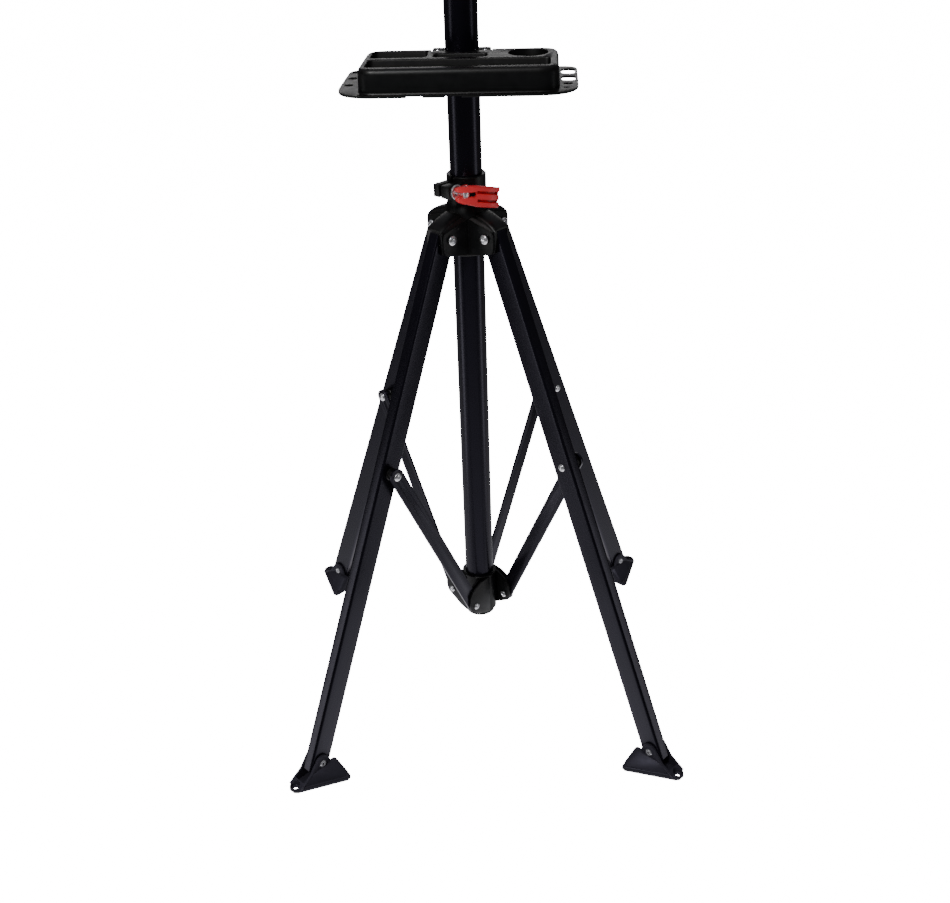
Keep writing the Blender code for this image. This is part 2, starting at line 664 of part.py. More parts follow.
def tray_blank():
    """The tray before its hollows: a rounded deck on a wider plate."""
    plate_corners = [(-0.1305, -0.114), (0.1295, -0.114), (0.1295, 0.023), (-0.1305, 0.023)]
    plate_outline = rounded_corners(plate_corners, [0.034, 0.034, 0.014, 0.014], 5)
    plate = outline_mesh("plate", [plate_outline], TRAY_PLATE_THICK, "XY")
    plate.transform(Matrix.Translation((0, 0, TRAY_PLATE_Z - TRAY_PLATE_THICK / 2)))
    corners = [(-0.1065, -0.1055), (0.1085, -0.1055), (0.1085, 0.0020), (-0.1065, 0.0020)]
    height = TRAY_RIM_Z - TRAY_PLATE_Z + TRAY_PLATE_THICK
    deck = outline_mesh("deck", [rounded_corners(corners, 0.016, 4)], height, "XY")
    deck.transform(Matrix.Translation((0, 0, TRAY_RIM_Z - height / 2)))
    return join(plate, bevelled(deck, 0.0025, 1, 60))


def tray_hollows():
    """The wells, cup, tool slots and front notches, and the room for the mast and its clamp."""
    floor = TRAY_PLATE_Z + 0.0005
    hollows = []
    for x0, x1, y0, y1 in TRAY_WELLS.values():
        outline = rounded_corners([(x0, y0), (x1, y0), (x1, y1), (x0, y1)], 0.005, 2)
        well = outline_mesh("well", [outline], 0.06, "XY")
        hollows.append(moved(well, Matrix.Translation((0, 0, floor + 0.03))))
    hollows.append(rod_mesh(CUP_R, floor, TRAY_RIM_Z + 0.01, "Z", CUP_AT, 24))
    hollows.append(rod_mesh(MAST_R + 0.0040, TRAY_PLATE_Z - 0.02, TRAY_RIM_Z + 0.02, sides=32))
    hollows.append(box_mesh((0.069, 0.030, 0.030), (0, 0.0056, TRAY_RIM_Z + 0.006)))
    for x, y, width, depth in TOOL_SLOTS["left"] + TOOL_SLOTS["right"]:
        outline = rounded_box_outline(width, depth, min(width, depth) * 0.45, (x, y), 2)
        slot = outline_mesh("slot", [outline], 0.02, "XY")
        hollows.append(moved(slot, Matrix.Translation((0, 0, TRAY_PLATE_Z))))
    for x in (-0.0443, -0.0030):
        hollows.append(box_mesh((0.0180, 0.020, 0.02), (x, -0.1110, TRAY_PLATE_Z - 0.0110)))
    return hollows


def build_tray(root):
    """The tray hangs on the front of the mast, held by a clamp in two halves."""
    holder = pivot("tray_axis", root, Matrix.Rotation(TRAY_TURN, 4, "Z"))
    place("tool_tray", cut(tray_blank(), *tray_hollows()), "black_plastic", holder)

    ring = tube_mesh(MAST_R + 0.0030, MAST_R + GAP, TRAY_PLATE_Z - 0.010, TRAY_RIM_Z, 28)
    ear = box_mesh((0.066, 0.0120, 0.012), (0, 0, TRAY_SCREW_Z))
    ear = cut(ear, rod_mesh(MAST_R + 0.001, 0.8, 0.95, sides=28))
    strap = join(ring, ear)
    for side in (-1, 1):
        screw_hole = rod_mesh(0.0021, -0.02, 0.02, "Y", (side * TRAY_SCREW_X, 0, TRAY_SCREW_Z), 10)
        strap = cut(strap, screw_hole)
    for name, sign in (("tray_clamp_front", 1), ("tray_clamp_rear", -1)):
        away = box_mesh((0.2, 0.1, 0.2), (0, sign * (0.05 - 0.0006), TRAY_RIM_Z))
        place(name, cut(strap, away), "black_plastic", holder)
    screw = pin_mesh(-0.0063, 0.0063, 0.0036, 0.0022, 0.0018, 12)
    for name, side in (("left", -1), ("right", 1)):
        at_screw = Matrix.Translation((side * TRAY_SCREW_X, 0, TRAY_SCREW_Z))
        place("tray_screw_" + name, screw, "zinc", holder, at_screw)


# ---- Telescoping top -----------------------------------------------------------------------------------

def build_upper_collar(root):
    """The split collar on the mast's top. It grips the inner tube, through a liner."""
    inside = INNER_R + 0.0016
    blank_r, lip = 0.0120, MAST_TOP - 0.010
    body = turned_mesh([(COLLAR_SLEEVE_R, lip - 0.002), (COLLAR_SLEEVE_R, UPPER_COLLAR_BOTTOM),
                        (blank_r, UPPER_COLLAR_BOTTOM), (blank_r, UPPER_COLLAR_TOP),
                        (SPLIT_R - 0.001, UPPER_COLLAR_TOP), (SPLIT_R, UPPER_COLLAR_TOP - 0.001),
                        (SPLIT_R, lip)])
    frame = in_frame(LEG_TURNS["fl"])
    hollow = rod_mesh(MAST_R + GAP, UPPER_COLLAR_BOTTOM - 0.01, MAST_TOP + GAP, sides=28)
    top_bore = rod_mesh(inside, MAST_TOP - 0.01, UPPER_COLLAR_TOP + 0.01, sides=28)
    body = join(body, *[moved(lug, frame) for lug in clamp_lugs(UPPER_CLAMP_Z)])
    openings = clamp_cuts(UPPER_CLAMP_Z, 0.996, UPPER_COLLAR_TOP + 0.018)
    body = cut(body, hollow, top_bore, *[moved(opening, frame) for opening in openings])
    place("upper_collar", body, "black_plastic", root)
    sleeve = tube_mesh(inside - GAP, INNER_R + 0.0004, MAST_TOP + 2 * GAP, UPPER_COLLAR_TOP - 0.0005, 28)
    gap = box_mesh((0.03, 0.0030, 0.2), (0.02, 0, MAST_TOP))
    place("upper_collar_liner", cut(sleeve, moved(gap, frame)), "black_plastic", root)


def build_inner_tube(root):
    """The tube that slides in the mast, and the glide that centres its lower end."""
    inner = tube_mesh(INNER_R, INNER_R - INNER_WALL, INNER_BOTTOM, INNER_TOP, 28)
    place("inner_tube", inner, "black_paint", root)
    flange_r = MAST_R - MAST_WALL - GAP
    plug_r = INNER_R - INNER_WALL - GAP
    bore_r, shoulder = 0.008, INNER_BOTTOM - GAP
    bottom, top = INNER_BOTTOM - 0.016, INNER_BOTTOM + 0.012
    glide = turned_mesh([(flange_r, shoulder), (flange_r, bottom), (bore_r, bottom), (bore_r, top),
                         (plug_r, top), (plug_r, shoulder)], 24)
    place("inner_tube_glide", glide, "black_plastic", root)


# ---- Work clamp ----------------------------------------------------------------------------------------

def at_head(mesh):
    mesh.transform(Matrix.Translation((0, 0, HEAD_Z)))
    return mesh


def build_tilt(root):
    """The tee on the inner tube, the spindle that turns in it and the lobed knob that locks the spindle."""
    low, high = INNER_TOP - 0.046, INNER_TOP + 0.010
    socket = turned_mesh([(0.0200, high), (0.0210, low), (0.0150, low), (0.0150, high)], 24)
    barrel = rod_mesh(0.0205, -0.026, 0.030, "X", (0, 0, HEAD_Z), 24)
    web = box_mesh((0.032, 0.030, 0.030), (0, 0, HEAD_Z - 0.020))
    tee = join(socket, barrel, bevelled(web, 0.003, 1))
    tee = cut(tee, rod_mesh(INNER_R + GAP, INNER_TOP - 0.06, INNER_TOP + GAP, sides=28),
              rod_mesh(0.0102, -0.05, 0.05, "X", (0, 0, HEAD_Z), 24))
    place("head_tee", tee, "black_plastic", root)

    spindle = turned_mesh([(0, 0.0740), (0.0100, 0.0740), (0.0100, 0.0380), (0.0190, 0.0360),
                           (0.0190, 0.0305), (0.0099, 0.0305), (0.0099, -0.0290), (0.0040, -0.0290),
                           (0.0040, -0.0440), (0, -0.0440)], 24, closed=False)
    spindle.transform(AXIS_TURNS["X"])
    place("head_spindle", at_head(spindle), "zinc", root)

    lobe_ring, lobe_count = 0.0170, 6
    knob = rod_mesh(lobe_ring, -0.0500, -0.0300, "X", sides=24)
    for k in range(lobe_count):
        turn = 2 * math.pi * k / lobe_count
        centre = (0, lobe_ring * math.cos(turn), lobe_ring * math.sin(turn))
        knob = join(knob, rod_mesh(0.0060, -0.0500, -0.0300, "X", centre, 10))
    knob = cut(knob, rod_mesh(0.0043, -0.0460, 0, "X"))
    place("tilt_knob", at_head(knob), "black_plastic", root)


def jaw_pad(centre_z, groove_z):
    """A rubber pad with a groove along Y that centres a round tube."""
    pad = bevelled(box_mesh((0.060, 0.030, 0.008), (SCREW_X, 0, centre_z)), 0.0015, 1)
    return at_head(cut(pad, rod_mesh(0.0180, -0.03, 0.03, "Y", (SCREW_X, 0, groove_z), 24)))


def build_jaws(root):
    """The C-shaped frame with its fixed lower jaw, the jaw that slides down onto it, and the screw."""
    arm_in, arm_out, back, nose = 0.036, 0.052, 0.0960, 0.1680
    corners = [(0.0600, -arm_out), (nose, -arm_out), (nose, -arm_in), (back, -arm_in), (back, arm_in),
               (nose, arm_in), (nose, arm_out), (0.0600, arm_out)]
    radii = [0.014, 0.006, 0.004, 0.008, 0.008, 0.004, 0.006, 0.014]
    frame = outline_mesh("frame", [rounded_corners(corners, radii, 3)], 0.026)
    frame = join(bevelled(frame, 0.0020, 1, 50), rod_mesh(0.0120, 0.040, 0.060, "Z", (SCREW_X, 0, 0), 20))
    frame = cut(frame, rod_mesh(0.0103, 0.05, 0.0745, "X", sides=24),
                rod_mesh(0.0058, 0.02, 0.08, "Z", (SCREW_X, 0, 0), 20))
    place("jaw_frame", at_head(frame), "black_paint", root)
    place("lower_jaw_pad", jaw_pad(-0.0317, -0.0120), "rubber", root)

    jaw = bevelled(box_mesh((0.064, 0.030, 0.009), (SCREW_X, 0, 0.0135)), 0.0015, 1)
    jaw = join(jaw, rod_mesh(0.0100, 0.0165, 0.0235, "Z", (SCREW_X, 0, 0), 20))
    jaw = cut(jaw, rod_mesh(0.0062, 0.0155, 0.03, "Z", (SCREW_X, 0, 0), 20))
    place("moving_jaw", at_head(jaw), "black_paint", root)
    place("upper_jaw_pad", jaw_pad(0.0047, -0.0150), "rubber", root)

    bar_z = 0.0990
    screw = rod_mesh(0.0055, 0.0160, 0.0920, "Z", (SCREW_X, 0, 0), 20)
    screw_head = rod_mesh(0.0095, 0.0900, 0.1080, "Z", (SCREW_X, 0, 0), 20)
    bar_hole = rod_mesh(0.0039, -0.03, 0.03, "Y", (SCREW_X, 0, bar_z))
    place("jaw_screw", at_head(cut(join(screw, screw_head), bar_hole)), "zinc", root)
    bar = rod_mesh(0.0035, -0.045, 0.045, "Y", (SCREW_X, 0, bar_z))
    for end in (-0.043, 0.043):
        bar = join(bar, rod_mesh(0.0060, end - 0.005, end + 0.005, "Y", (SCREW_X, 0, bar_z)))
    place("jaw_screw_bar", at_head(bar), "zinc", root)


parts, cutters = empty_scene()
stand = pivot("stand", None, Matrix())
build_mast(stand)
build_bottom_collar(stand)
build_hub(stand)
build_clamp("lower", stand, LEG_TURNS["fl"], LOWER_CLAMP_Z)
build_legs(stand)
build_tray(stand)
build_upper_collar(stand)
build_clamp("upper", stand, LEG_TURNS["fl"], UPPER_CLAMP_Z)
build_inner_tube(stand)
build_tilt(stand)
build_jaws(stand)
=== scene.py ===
"""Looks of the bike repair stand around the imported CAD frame. Metres, +Z up, the mast on the Z axis.

Each leg and its brace use a radial frame: X outwards from the mast, Y sideways, Z up.
"""

import json
import math

import bmesh
import bpy
from mathutils import Matrix, Vector


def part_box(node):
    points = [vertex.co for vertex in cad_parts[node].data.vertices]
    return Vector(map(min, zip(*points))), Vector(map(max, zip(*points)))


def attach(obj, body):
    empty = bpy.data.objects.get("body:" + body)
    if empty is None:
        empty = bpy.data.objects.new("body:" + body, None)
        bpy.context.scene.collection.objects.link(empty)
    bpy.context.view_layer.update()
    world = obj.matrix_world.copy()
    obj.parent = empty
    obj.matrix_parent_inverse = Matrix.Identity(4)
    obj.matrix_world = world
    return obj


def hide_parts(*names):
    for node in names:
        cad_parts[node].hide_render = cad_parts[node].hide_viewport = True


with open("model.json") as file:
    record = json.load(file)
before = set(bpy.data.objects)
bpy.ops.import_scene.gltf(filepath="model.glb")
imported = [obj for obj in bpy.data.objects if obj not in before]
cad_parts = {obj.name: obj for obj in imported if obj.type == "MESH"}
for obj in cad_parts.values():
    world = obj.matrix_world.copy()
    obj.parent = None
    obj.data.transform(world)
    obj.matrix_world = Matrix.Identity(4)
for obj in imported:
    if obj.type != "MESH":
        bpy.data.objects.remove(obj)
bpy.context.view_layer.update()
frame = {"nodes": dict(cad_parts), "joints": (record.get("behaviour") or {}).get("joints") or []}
NODES = frame["nodes"]
LEG_TURNS = {"fl": 225, "fr": 315, "br": 45, "bl": 135}


def joint_named(name):
    return next(joint for joint in frame["joints"] if joint["name"] == name)


def radial(name):
    """The radius and height of a hinge on the front left leg."""
    x, y, z = joint_named(name)["pos_m"]
    return math.hypot(x, y), z


HUB_PIVOT = radial("leg_hinge_fl")
ANKLE = radial("foot_hinge_fl")
BRACE_FOOT = radial("brace_hinge_fl")
LEG_LEAN = math.atan2(ANKLE[0] - HUB_PIVOT[0], HUB_PIVOT[1] - ANKLE[1])
LEG_LENGTH = math.hypot(ANKLE[0] - HUB_PIVOT[0], HUB_PIVOT[1] - ANKLE[1])
BRACE_ON_LEG = 0.425 * LEG_LENGTH
KNEE = (HUB_PIVOT[0] + BRACE_ON_LEG * math.sin(LEG_LEAN), HUB_PIVOT[1] - BRACE_ON_LEG * math.cos(LEG_LEAN))
BRACE_LEAN = math.atan2(KNEE[0] - BRACE_FOOT[0], KNEE[1] - BRACE_FOOT[1])
BRACE_LENGTH = math.hypot(KNEE[0] - BRACE_FOOT[0], KNEE[1] - BRACE_FOOT[1])

GAP = 0.0003
MAST_R, MAST_WALL = 0.019, 0.0015
INNER_R, INNER_WALL = 0.0159, 0.0014
LEG_DEPTH, LEG_WIDTH, LEG_WALL = 0.030, 0.016, 0.0014
HALF_LEG = LEG_WIDTH / 2
SLOT = HALF_LEG + 0.0006
BRACE_IN = HALF_LEG + 0.0096
BRACE_OUT = BRACE_IN + 0.003
BOLT_R, HOLE_R = 0.0027, 0.0030
TRAY_TURN = math.radians(-4)


# ---- Materials ---------------------------------------------------------------------------------------

def finish_material(name, colour, drift, metallic, rough, grain, relief, specular=0.5, tint=(1, 1, 1)):
    """A finish whose colour and gloss drift over the surface, with a fine grain as relief.

    drift is the colour's share of change, rough is the lowest and highest roughness, grain is in lumps
    per metre, relief is its depth in metres and tint colours the gloss.
    """
    material = bpy.data.materials.new(name)
    material.use_nodes = True
    nodes, links = material.node_tree.nodes, material.node_tree.links
    shader = nodes["Principled BSDF"]
    shader.inputs["Base Color"].default_value = (*colour, 1)
    shader.inputs["Metallic"].default_value = metallic
    shader.inputs["Roughness"].default_value = sum(rough) / 2
    shader.inputs["Specular IOR Level"].default_value = specular
    shader.inputs["Specular Tint"].default_value = (*tint, 1)
    place = nodes.new("ShaderNodeTexCoord")

    def noise(scale, detail):
        texture = nodes.new("ShaderNodeTexNoise")
        texture.inputs["Scale"].default_value = scale
        texture.inputs["Detail"].default_value = detail
        links.new(place.outputs["Object"], texture.inputs["Vector"])
        return texture

    ramp = nodes.new("ShaderNodeValToRGB")
    ramp.color_ramp.elements[0].position = 0.3
    ramp.color_ramp.elements[1].position = 0.7
    ramp.color_ramp.elements[0].color = (*[c * (1 - drift) for c in colour], 1)
    ramp.color_ramp.elements[1].color = (*[min(1, c * (1 + drift)) for c in colour], 1)
    links.new(noise(38, 4).outputs["Fac"], ramp.inputs["Fac"])
    links.new(ramp.outputs["Color"], shader.inputs["Base Color"])
    spread = nodes.new("ShaderNodeMapRange")
    spread.inputs["From Min"].default_value = 0.3
    spread.inputs["From Max"].default_value = 0.7
    spread.inputs["To Min"].default_value, spread.inputs["To Max"].default_value = rough
    links.new(noise(120, 5).outputs["Fac"], spread.inputs["Value"])
    links.new(spread.outputs["Result"], shader.inputs["Roughness"])
    bump = nodes.new("ShaderNodeBump")
    bump.inputs["Distance"].default_value = relief
    bump.inputs["Strength"].default_value = 0.6
    links.new(noise(grain, 3).outputs["Fac"], bump.inputs["Height"])
    links.new(bump.outputs["Normal"], shader.inputs["Normal"])
    return material


VIOLET = (0.80, 0.76, 1.0)
PAINT_BLACK = (0.0034, 0.0029, 0.0054)
PLASTIC_BLACK = (0.0030, 0.0030, 0.0032)
FOOT_BLACK = (0.0280, 0.0265, 0.0350)
RUBBER_BLACK = (0.0060, 0.0060, 0.0060)
LEVER_RED = (0.84, 0.042, 0.048)
STEEL = (0.92, 0.92, 0.94)
FINISHES = {
    "black_paint": finish_material("black_paint", PAINT_BLACK, 0.15, 0, (0.25, 0.28), 900, 0.000002,
                                   0.45, VIOLET),
    "black_plastic": finish_material("black_plastic", PLASTIC_BLACK, 0.22, 0, (0.36, 0.43), 2600, 0.00001,
                                     0.35),
    "foot_plastic": finish_material("foot_plastic", FOOT_BLACK, 0.15, 0, (0.46, 0.56), 2600, 0.00002,
                                    0.40, VIOLET),
    "black_rubber": finish_material("black_rubber", RUBBER_BLACK, 0.35, 0, (0.72, 0.88), 1500, 0.00012,
                                    0.30),
    "red_plastic": finish_material("red_plastic", LEVER_RED, 0.08, 0, (0.26, 0.36), 2400, 0.00002, 0.40),
    "bright_steel": finish_material("bright_steel", STEEL, 0.06, 0.82, (0.18, 0.28), 1800, 0.00002, 0.8),
}


# ---- Mesh tools --------------------------------------------------------------------------------------

AXIS_TURNS = {
    "Z": Matrix(),
    "Y": Matrix.Rotation(-math.pi / 2, 4, "X"),
    "X": Matrix.Rotation(math.pi / 2, 4, "Y"),
}


def arc(centre, radius, start, end, steps):
    """Points on an arc, from one angle to another in degrees."""
    turns = [math.radians(start + (end - start) * i / steps) for i in range(steps + 1)]
    return [(centre[0] + radius * math.cos(turn), centre[1] + radius * math.sin(turn)) for turn in turns]


def rounded(corners, radius, steps=6):
    """An outline with each corner turned into a smooth bend."""
    points = []
    count = len(corners)
    radii = radius if isinstance(radius, (list, tuple)) else [radius] * count
    for i, corner in enumerate(corners):
        here = Vector(corner)
        before = Vector(corners[i - 1]) - here
        after = Vector(corners[(i + 1) % count]) - here
        if radii[i] <= 0:
            points.append(tuple(here))
            continue
        half = before.angle(after) / 2
        reach = min(radii[i] / math.tan(half), 0.49 * before.length, 0.49 * after.length)
        start = here + before.normalized() * reach
        end = here + after.normalized() * reach
        for k in range(steps + 1):
            t = k / steps
            points.append(tuple(start * (1 - t) ** 2 + here * 2 * t * (1 - t) + end * t ** 2))
    return points


def rectangle(width, depth, centre=(0, 0)):
    x, y = width / 2, depth / 2
    return [(centre[0] + sx * x, centre[1] + sy * y) for sx, sy in ((-1, -1), (1, -1), (1, 1), (-1, 1))]


def from_bmesh(work, matrix=None):
    """The mesh of a bmesh, welded, with its faces turned out."""
    bmesh.ops.remove_doubles(work, verts=work.verts, dist=1e-6)
    bmesh.ops.recalc_face_normals(work, faces=work.faces)
    mesh = bpy.data.meshes.new("part")
    work.to_mesh(mesh)
    work.free()
    if matrix is not None:
        mesh.transform(matrix)
    return mesh


def applied(mesh, kind, **settings):
    """The mesh after one modifier."""
    obj = bpy.data.objects.new("scratch", mesh)
    bpy.context.scene.collection.objects.link(obj)
    modifier = obj.modifiers.new("modifier", kind)
    for key, value in settings.items():
        setattr(modifier, key, value)
    bpy.context.view_layer.update()
    made = bpy.data.meshes.new_from_object(obj.evaluated_get(bpy.context.evaluated_depsgraph_get()))
    bpy.data.objects.remove(obj)
    return made


def combine(mesh, others, operation):
    for other in others:
        tool = bpy.data.objects.new("tool", other)
        bpy.context.scene.collection.objects.link(tool)
        mesh = applied(mesh, "BOOLEAN", operation=operation, object=tool)
        bpy.data.objects.remove(tool)
    return mesh


def cut(mesh, *others):
    return combine(mesh, others, "DIFFERENCE")


def join(mesh, *others):
    return combine(mesh, others, "UNION")


def bevelled(mesh, width, segments=3, angle=35):
    return applied(mesh, "BEVEL", width=width, segments=segments, limit_method="ANGLE",
                   angle_limit=math.radians(angle), use_clamp_overlap=True)


def moved(mesh, matrix):
    copy = mesh.copy()
    copy.transform(matrix)
    return copy


def in_frame(turn):
    return Matrix.Rotation(math.radians(turn), 4, "Z")


def around(piece):
    """A cutter or joiner repeated on each of the four legs."""
    return [moved(piece, in_frame(turn)) for turn in LEG_TURNS.values()]


def plate(outlines, thickness, plane="XZ"):
    """A flat plate centred on its plane: the outer edge first, then any holes."""
    curve = bpy.data.curves.new("outline", "CURVE")
    curve.dimensions = "2D"
    curve.fill_mode = "BOTH"
    curve.extrude = thickness / 2
    for points in outlines:
        spline = curve.splines.new("POLY")
        spline.points.add(len(points) - 1)
        for point, (x, y) in zip(spline.points, points):
            point.co = (x, y, 0, 1)
        spline.use_cyclic_u = True
    holder = bpy.data.objects.new("outline", curve)
    bpy.context.scene.collection.objects.link(holder)
    bpy.context.view_layer.update()
    flat = bpy.data.meshes.new_from_object(holder.evaluated_get(bpy.context.evaluated_depsgraph_get()))
    bpy.data.objects.remove(holder)
    work = bmesh.new()
    work.from_mesh(flat)
    return from_bmesh(work, Matrix.Rotation(math.pi / 2, 4, "X") if plane == "XZ" else None)


def block(size, centre=(0, 0, 0)):
    work = bmesh.new()
    bmesh.ops.create_cube(work, size=1)
    bmesh.ops.scale(work, vec=size, verts=work.verts)
    return from_bmesh(work, Matrix.Translation(centre))


def rod(radius, start, end, axis="Z", centre=(0, 0, 0), sides=48):
    work = bmesh.new()
    bmesh.ops.create_cone(work, cap_ends=True, segments=sides, radius1=radius, radius2=radius,
                          depth=end - start)
    bmesh.ops.translate(work, vec=(0, 0, (start + end) / 2), verts=work.verts)
    return from_bmesh(work, Matrix.Translation(centre) @ AXIS_TURNS[axis])


def turned(profile, sides=72, axis="Z", centre=(0, 0, 0)):
    """A solid turned around an axis, from its closed profile of (radius, height)."""
    work = bmesh.new()
    rings = []
    for i in range(sides):
        turn = 2 * math.pi * i / sides
        rings.append([work.verts.new((r * math.cos(turn), r * math.sin(turn), z)) for r, z in profile])
    for i, ring in enumerate(rings):
        following = rings[(i + 1) % sides]
        for k in range(len(profile)):
            after = (k + 1) % len(profile)
            corners = [ring[k], following[k], following[after], ring[after]]
            if profile[k][0] == 0 and profile[after][0] == 0:
                continue
            work.faces.new(corners)
    bmesh.ops.remove_doubles(work, verts=work.verts, dist=1e-7)
    bmesh.ops.dissolve_degenerate(work, dist=1e-7, edges=work.edges)
    return from_bmesh(work, Matrix.Translation(centre) @ AXIS_TURNS[axis])


def lofted(rings):
    """A closed solid through rings of points, capped at both ends."""
    work = bmesh.new()
    verts = [[work.verts.new(point) for point in ring] for ring in rings]
    for first, second in zip(verts, verts[1:]):
        for k in range(len(first)):
            after = (k + 1) % len(first)
            work.faces.new((first[k], first[after], second[after], second[k]))
    work.faces.new(verts[0][::-1])
    work.faces.new(verts[-1])
    return from_bmesh(work)


def show(name, mesh, finish, body, *nodes):
    """One visible piece that rides on a CAD body and stands for CAD nodes."""
    obj = bpy.data.objects.new(name, mesh)
    bpy.context.scene.collection.objects.link(obj)
    mesh.materials.clear()
    mesh.materials.append(FINISHES[finish])
    for face in mesh.polygons:
        face.material_index = 0
    mesh.shade_smooth()
    mesh.set_sharp_from_angle(angle=math.radians(32))
    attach(obj, body)
    if nodes:
        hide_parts(*nodes)
    return obj


def show_around(name, mesh, finish, body, node=None):
    """A copy of a piece on each leg. A body or node ending in _ gets the leg's letters."""
    for leg, turn in LEG_TURNS.items():
        rider = body + leg if body.endswith("_") else body
        stands_for = [node + leg] if node else []
        show(name + "_" + leg, moved(mesh, in_frame(turn)), finish, rider, *stands_for)


# ---- Fasteners ---------------------------------------------------------------------------------------

def button_head(radius, height, socket=0.0021):
    """A domed head on Z = 0 with a rolled edge and a hexagon socket."""
    rim = 0.22 * height
    dome = [(r, rim + z * (height - rim) / radius) for r, z in arc((0, 0), radius, 0, 90, 9)[:-1]]
    head = turned(dome + [(0, height), (0, 0), (0.97 * radius, 0)], 40)
    return cut(head, rod(socket, height * 0.35, height + 0.001, sides=6))


def headed_pin(low, high, head_r, head_h, socket=0.0021, shank=BOLT_R):
    """A pin along Y with a domed, socketed head on each end."""
    pin = rod(shank, low - 0.0003, high + 0.0003, "Y")
    head = button_head(head_r, head_h, socket)
    right = moved(head, Matrix.Translation((0, high, 0)) @ AXIS_TURNS["Y"])
    left = moved(head, Matrix.Translation((0, low, 0)) @ Matrix.Rotation(math.pi / 2, 4, "X"))
    return join(pin, right, left)


def hollow_rivet(low, high, head_r, head_h):
    """A tubular rivet along Y: a rolled flange on each end around an open middle."""
    bore = 0.0016
    lip = [(head_r, 0), (head_r, 0.35 * head_h), (0.75 * head_r, head_h),
           (bore + 0.0006, head_h), (bore, 0.7 * head_h)]
    profile = [(r, high + z) for r, z in lip] + [(r, low - z) for r, z in lip[::-1]]
    profile += [(BOLT_R, low), (BOLT_R, high)]
    return turned(profile, 40, "Y")


# ---- Mast and bottom collar --------------------------------------------------------------------------

def ring_tube(outer, wall, bottom, top, ease=0.0005, sides=96):
    """A tube with its cut ends eased."""
    inner = outer - wall
    return turned([(outer, bottom + ease), (outer - ease, bottom), (inner, bottom), (inner, top),
                   (outer - ease, top), (outer, top - ease)], sides)


def build_mast():
    low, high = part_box("mast_tube")
    mast = ring_tube(MAST_R, MAST_WALL, low.z, high.z)
    show("mast_skin", mast, "black_paint", "mast", "mast_tube")
    low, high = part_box("inner_tube")
    inner = ring_tube(INNER_R, INNER_WALL, low.z, high.z)
    show("inner_skin", inner, "black_paint", "inner_mast", "inner_tube")


def build_bottom_collar():
    """A sleeve with a bead at its top and four clevises beside the mast, each with a brace pinned in it."""
    low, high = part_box("bottom_collar")
    sleeve_r, core_r, bead = 0.0225, 0.014, 0.004
    bead_r = sleeve_r + 0.001
    sleeve = turned([(sleeve_r, high.z - bead), (sleeve_r, low.z + 0.0015), (sleeve_r - 0.0012, low.z),
                     (core_r, low.z), (core_r, high.z), (sleeve_r + 0.0004, high.z),
                     (bead_r, high.z - 0.0008), (bead_r, high.z - bead + 0.0008)])
    corners = [(0.004, 0.1050), (0.016, 0.1085), (0.0405, 0.1230), (0.0432, 0.1335), (0.0422, 0.1470),
               (0.0370, 0.1545), (0.0210, 0.1622), (0.004, 0.1645)]
    outline = rounded(corners, [0, 0.006, 0.007, 0.006, 0.006, 0.006, 0.006, 0], 5)
    body = sleeve
    ear_thick = 0.0025
    inner_mid = BRACE_IN - GAP - ear_thick / 2
    outer_mid = BRACE_OUT + GAP + ear_thick / 2
    for mid in (inner_mid, outer_mid):
        ear = bevelled(plate([outline], ear_thick), 0.0005, 2, 50)
        pin_room = rod(HOLE_R, mid - 0.01, mid + 0.01, "Y", (BRACE_FOOT[0], 0, BRACE_FOOT[1]), 32)
        ear.transform(Matrix.Translation((0, mid, 0)))
        body = join(body, *around(cut(ear, pin_room)))
    body = cut(body, rod(MAST_R + GAP, low.z - 0.01, high.z + 0.01, sides=96))
    show("bottom_collar_skin", body, "black_plastic", "mast", "bottom_collar")
    reach = ear_thick / 2 + GAP
    pin = headed_pin(inner_mid - reach, outer_mid + reach, 0.0046, 0.0024, 0.0016)
    pin.transform(Matrix.Translation((BRACE_FOOT[0], 0, BRACE_FOOT[1])))
    show_around("brace_foot_pin", pin, "bright_steel", "mast", "brace_foot_bolt_")


# ---- Quick-release clamp -----------------------------------------------------------------------------

CLAMP_TURN = LEG_TURNS["fl"]
CLAMP_REACH = 0.033
LUG_IN, NUT_LUG_OUT, CAM_LUG_OUT = 0.0015, 0.0110, 0.0155
CLAMP_HEIGHT = 0.015
BARREL = (CLAMP_REACH, 0.0315)
STUD_END = 0.0350
LEVER_R, LEVER_DROOP = 0.0464, 0.0092
STUD_R, STUD_HOLE_R, BARREL_R = 0.0025, 0.0029, 0.0037
NUT_R, WASHER_R = 0.0062, 0.0088
LOWER_CLAMP_Z, UPPER_CLAMP_Z = 0.7165, 1.028


def lever_section(outer, inner, half_height, depth, curl):
    """A section from an outer to an inner point, with two grooves of a depth that part three ridges."""
    level_and_dent = [(-1, 0), (-0.90, 0), (-0.56, 0), (-0.52, 1), (-0.29, 1), (-0.25, 0),
                      (0.25, 0), (0.29, 1), (0.52, 1), (0.56, 0), (0.90, 0), (1, 0)]
    outer, inner = Vector(outer), Vector(inner)
    inwards = (inner - outer).normalized()
    section = []
    for level, dent in level_and_dent:
        eased = 0.0010 if abs(level) == 1 else 0
        lift = 0.0020 * curl * (level > 0.4)
        place = outer + inwards * (eased + depth * dent - lift)
        section.append((place.x, place.y, level * half_height + lift))
    for level in (0.98, 0.90, -0.90, -0.98):
        place = inner - inwards * (0.0009 if abs(level) > 0.95 else 0)
        section.append((place.x, place.y, level * half_height))
    return section


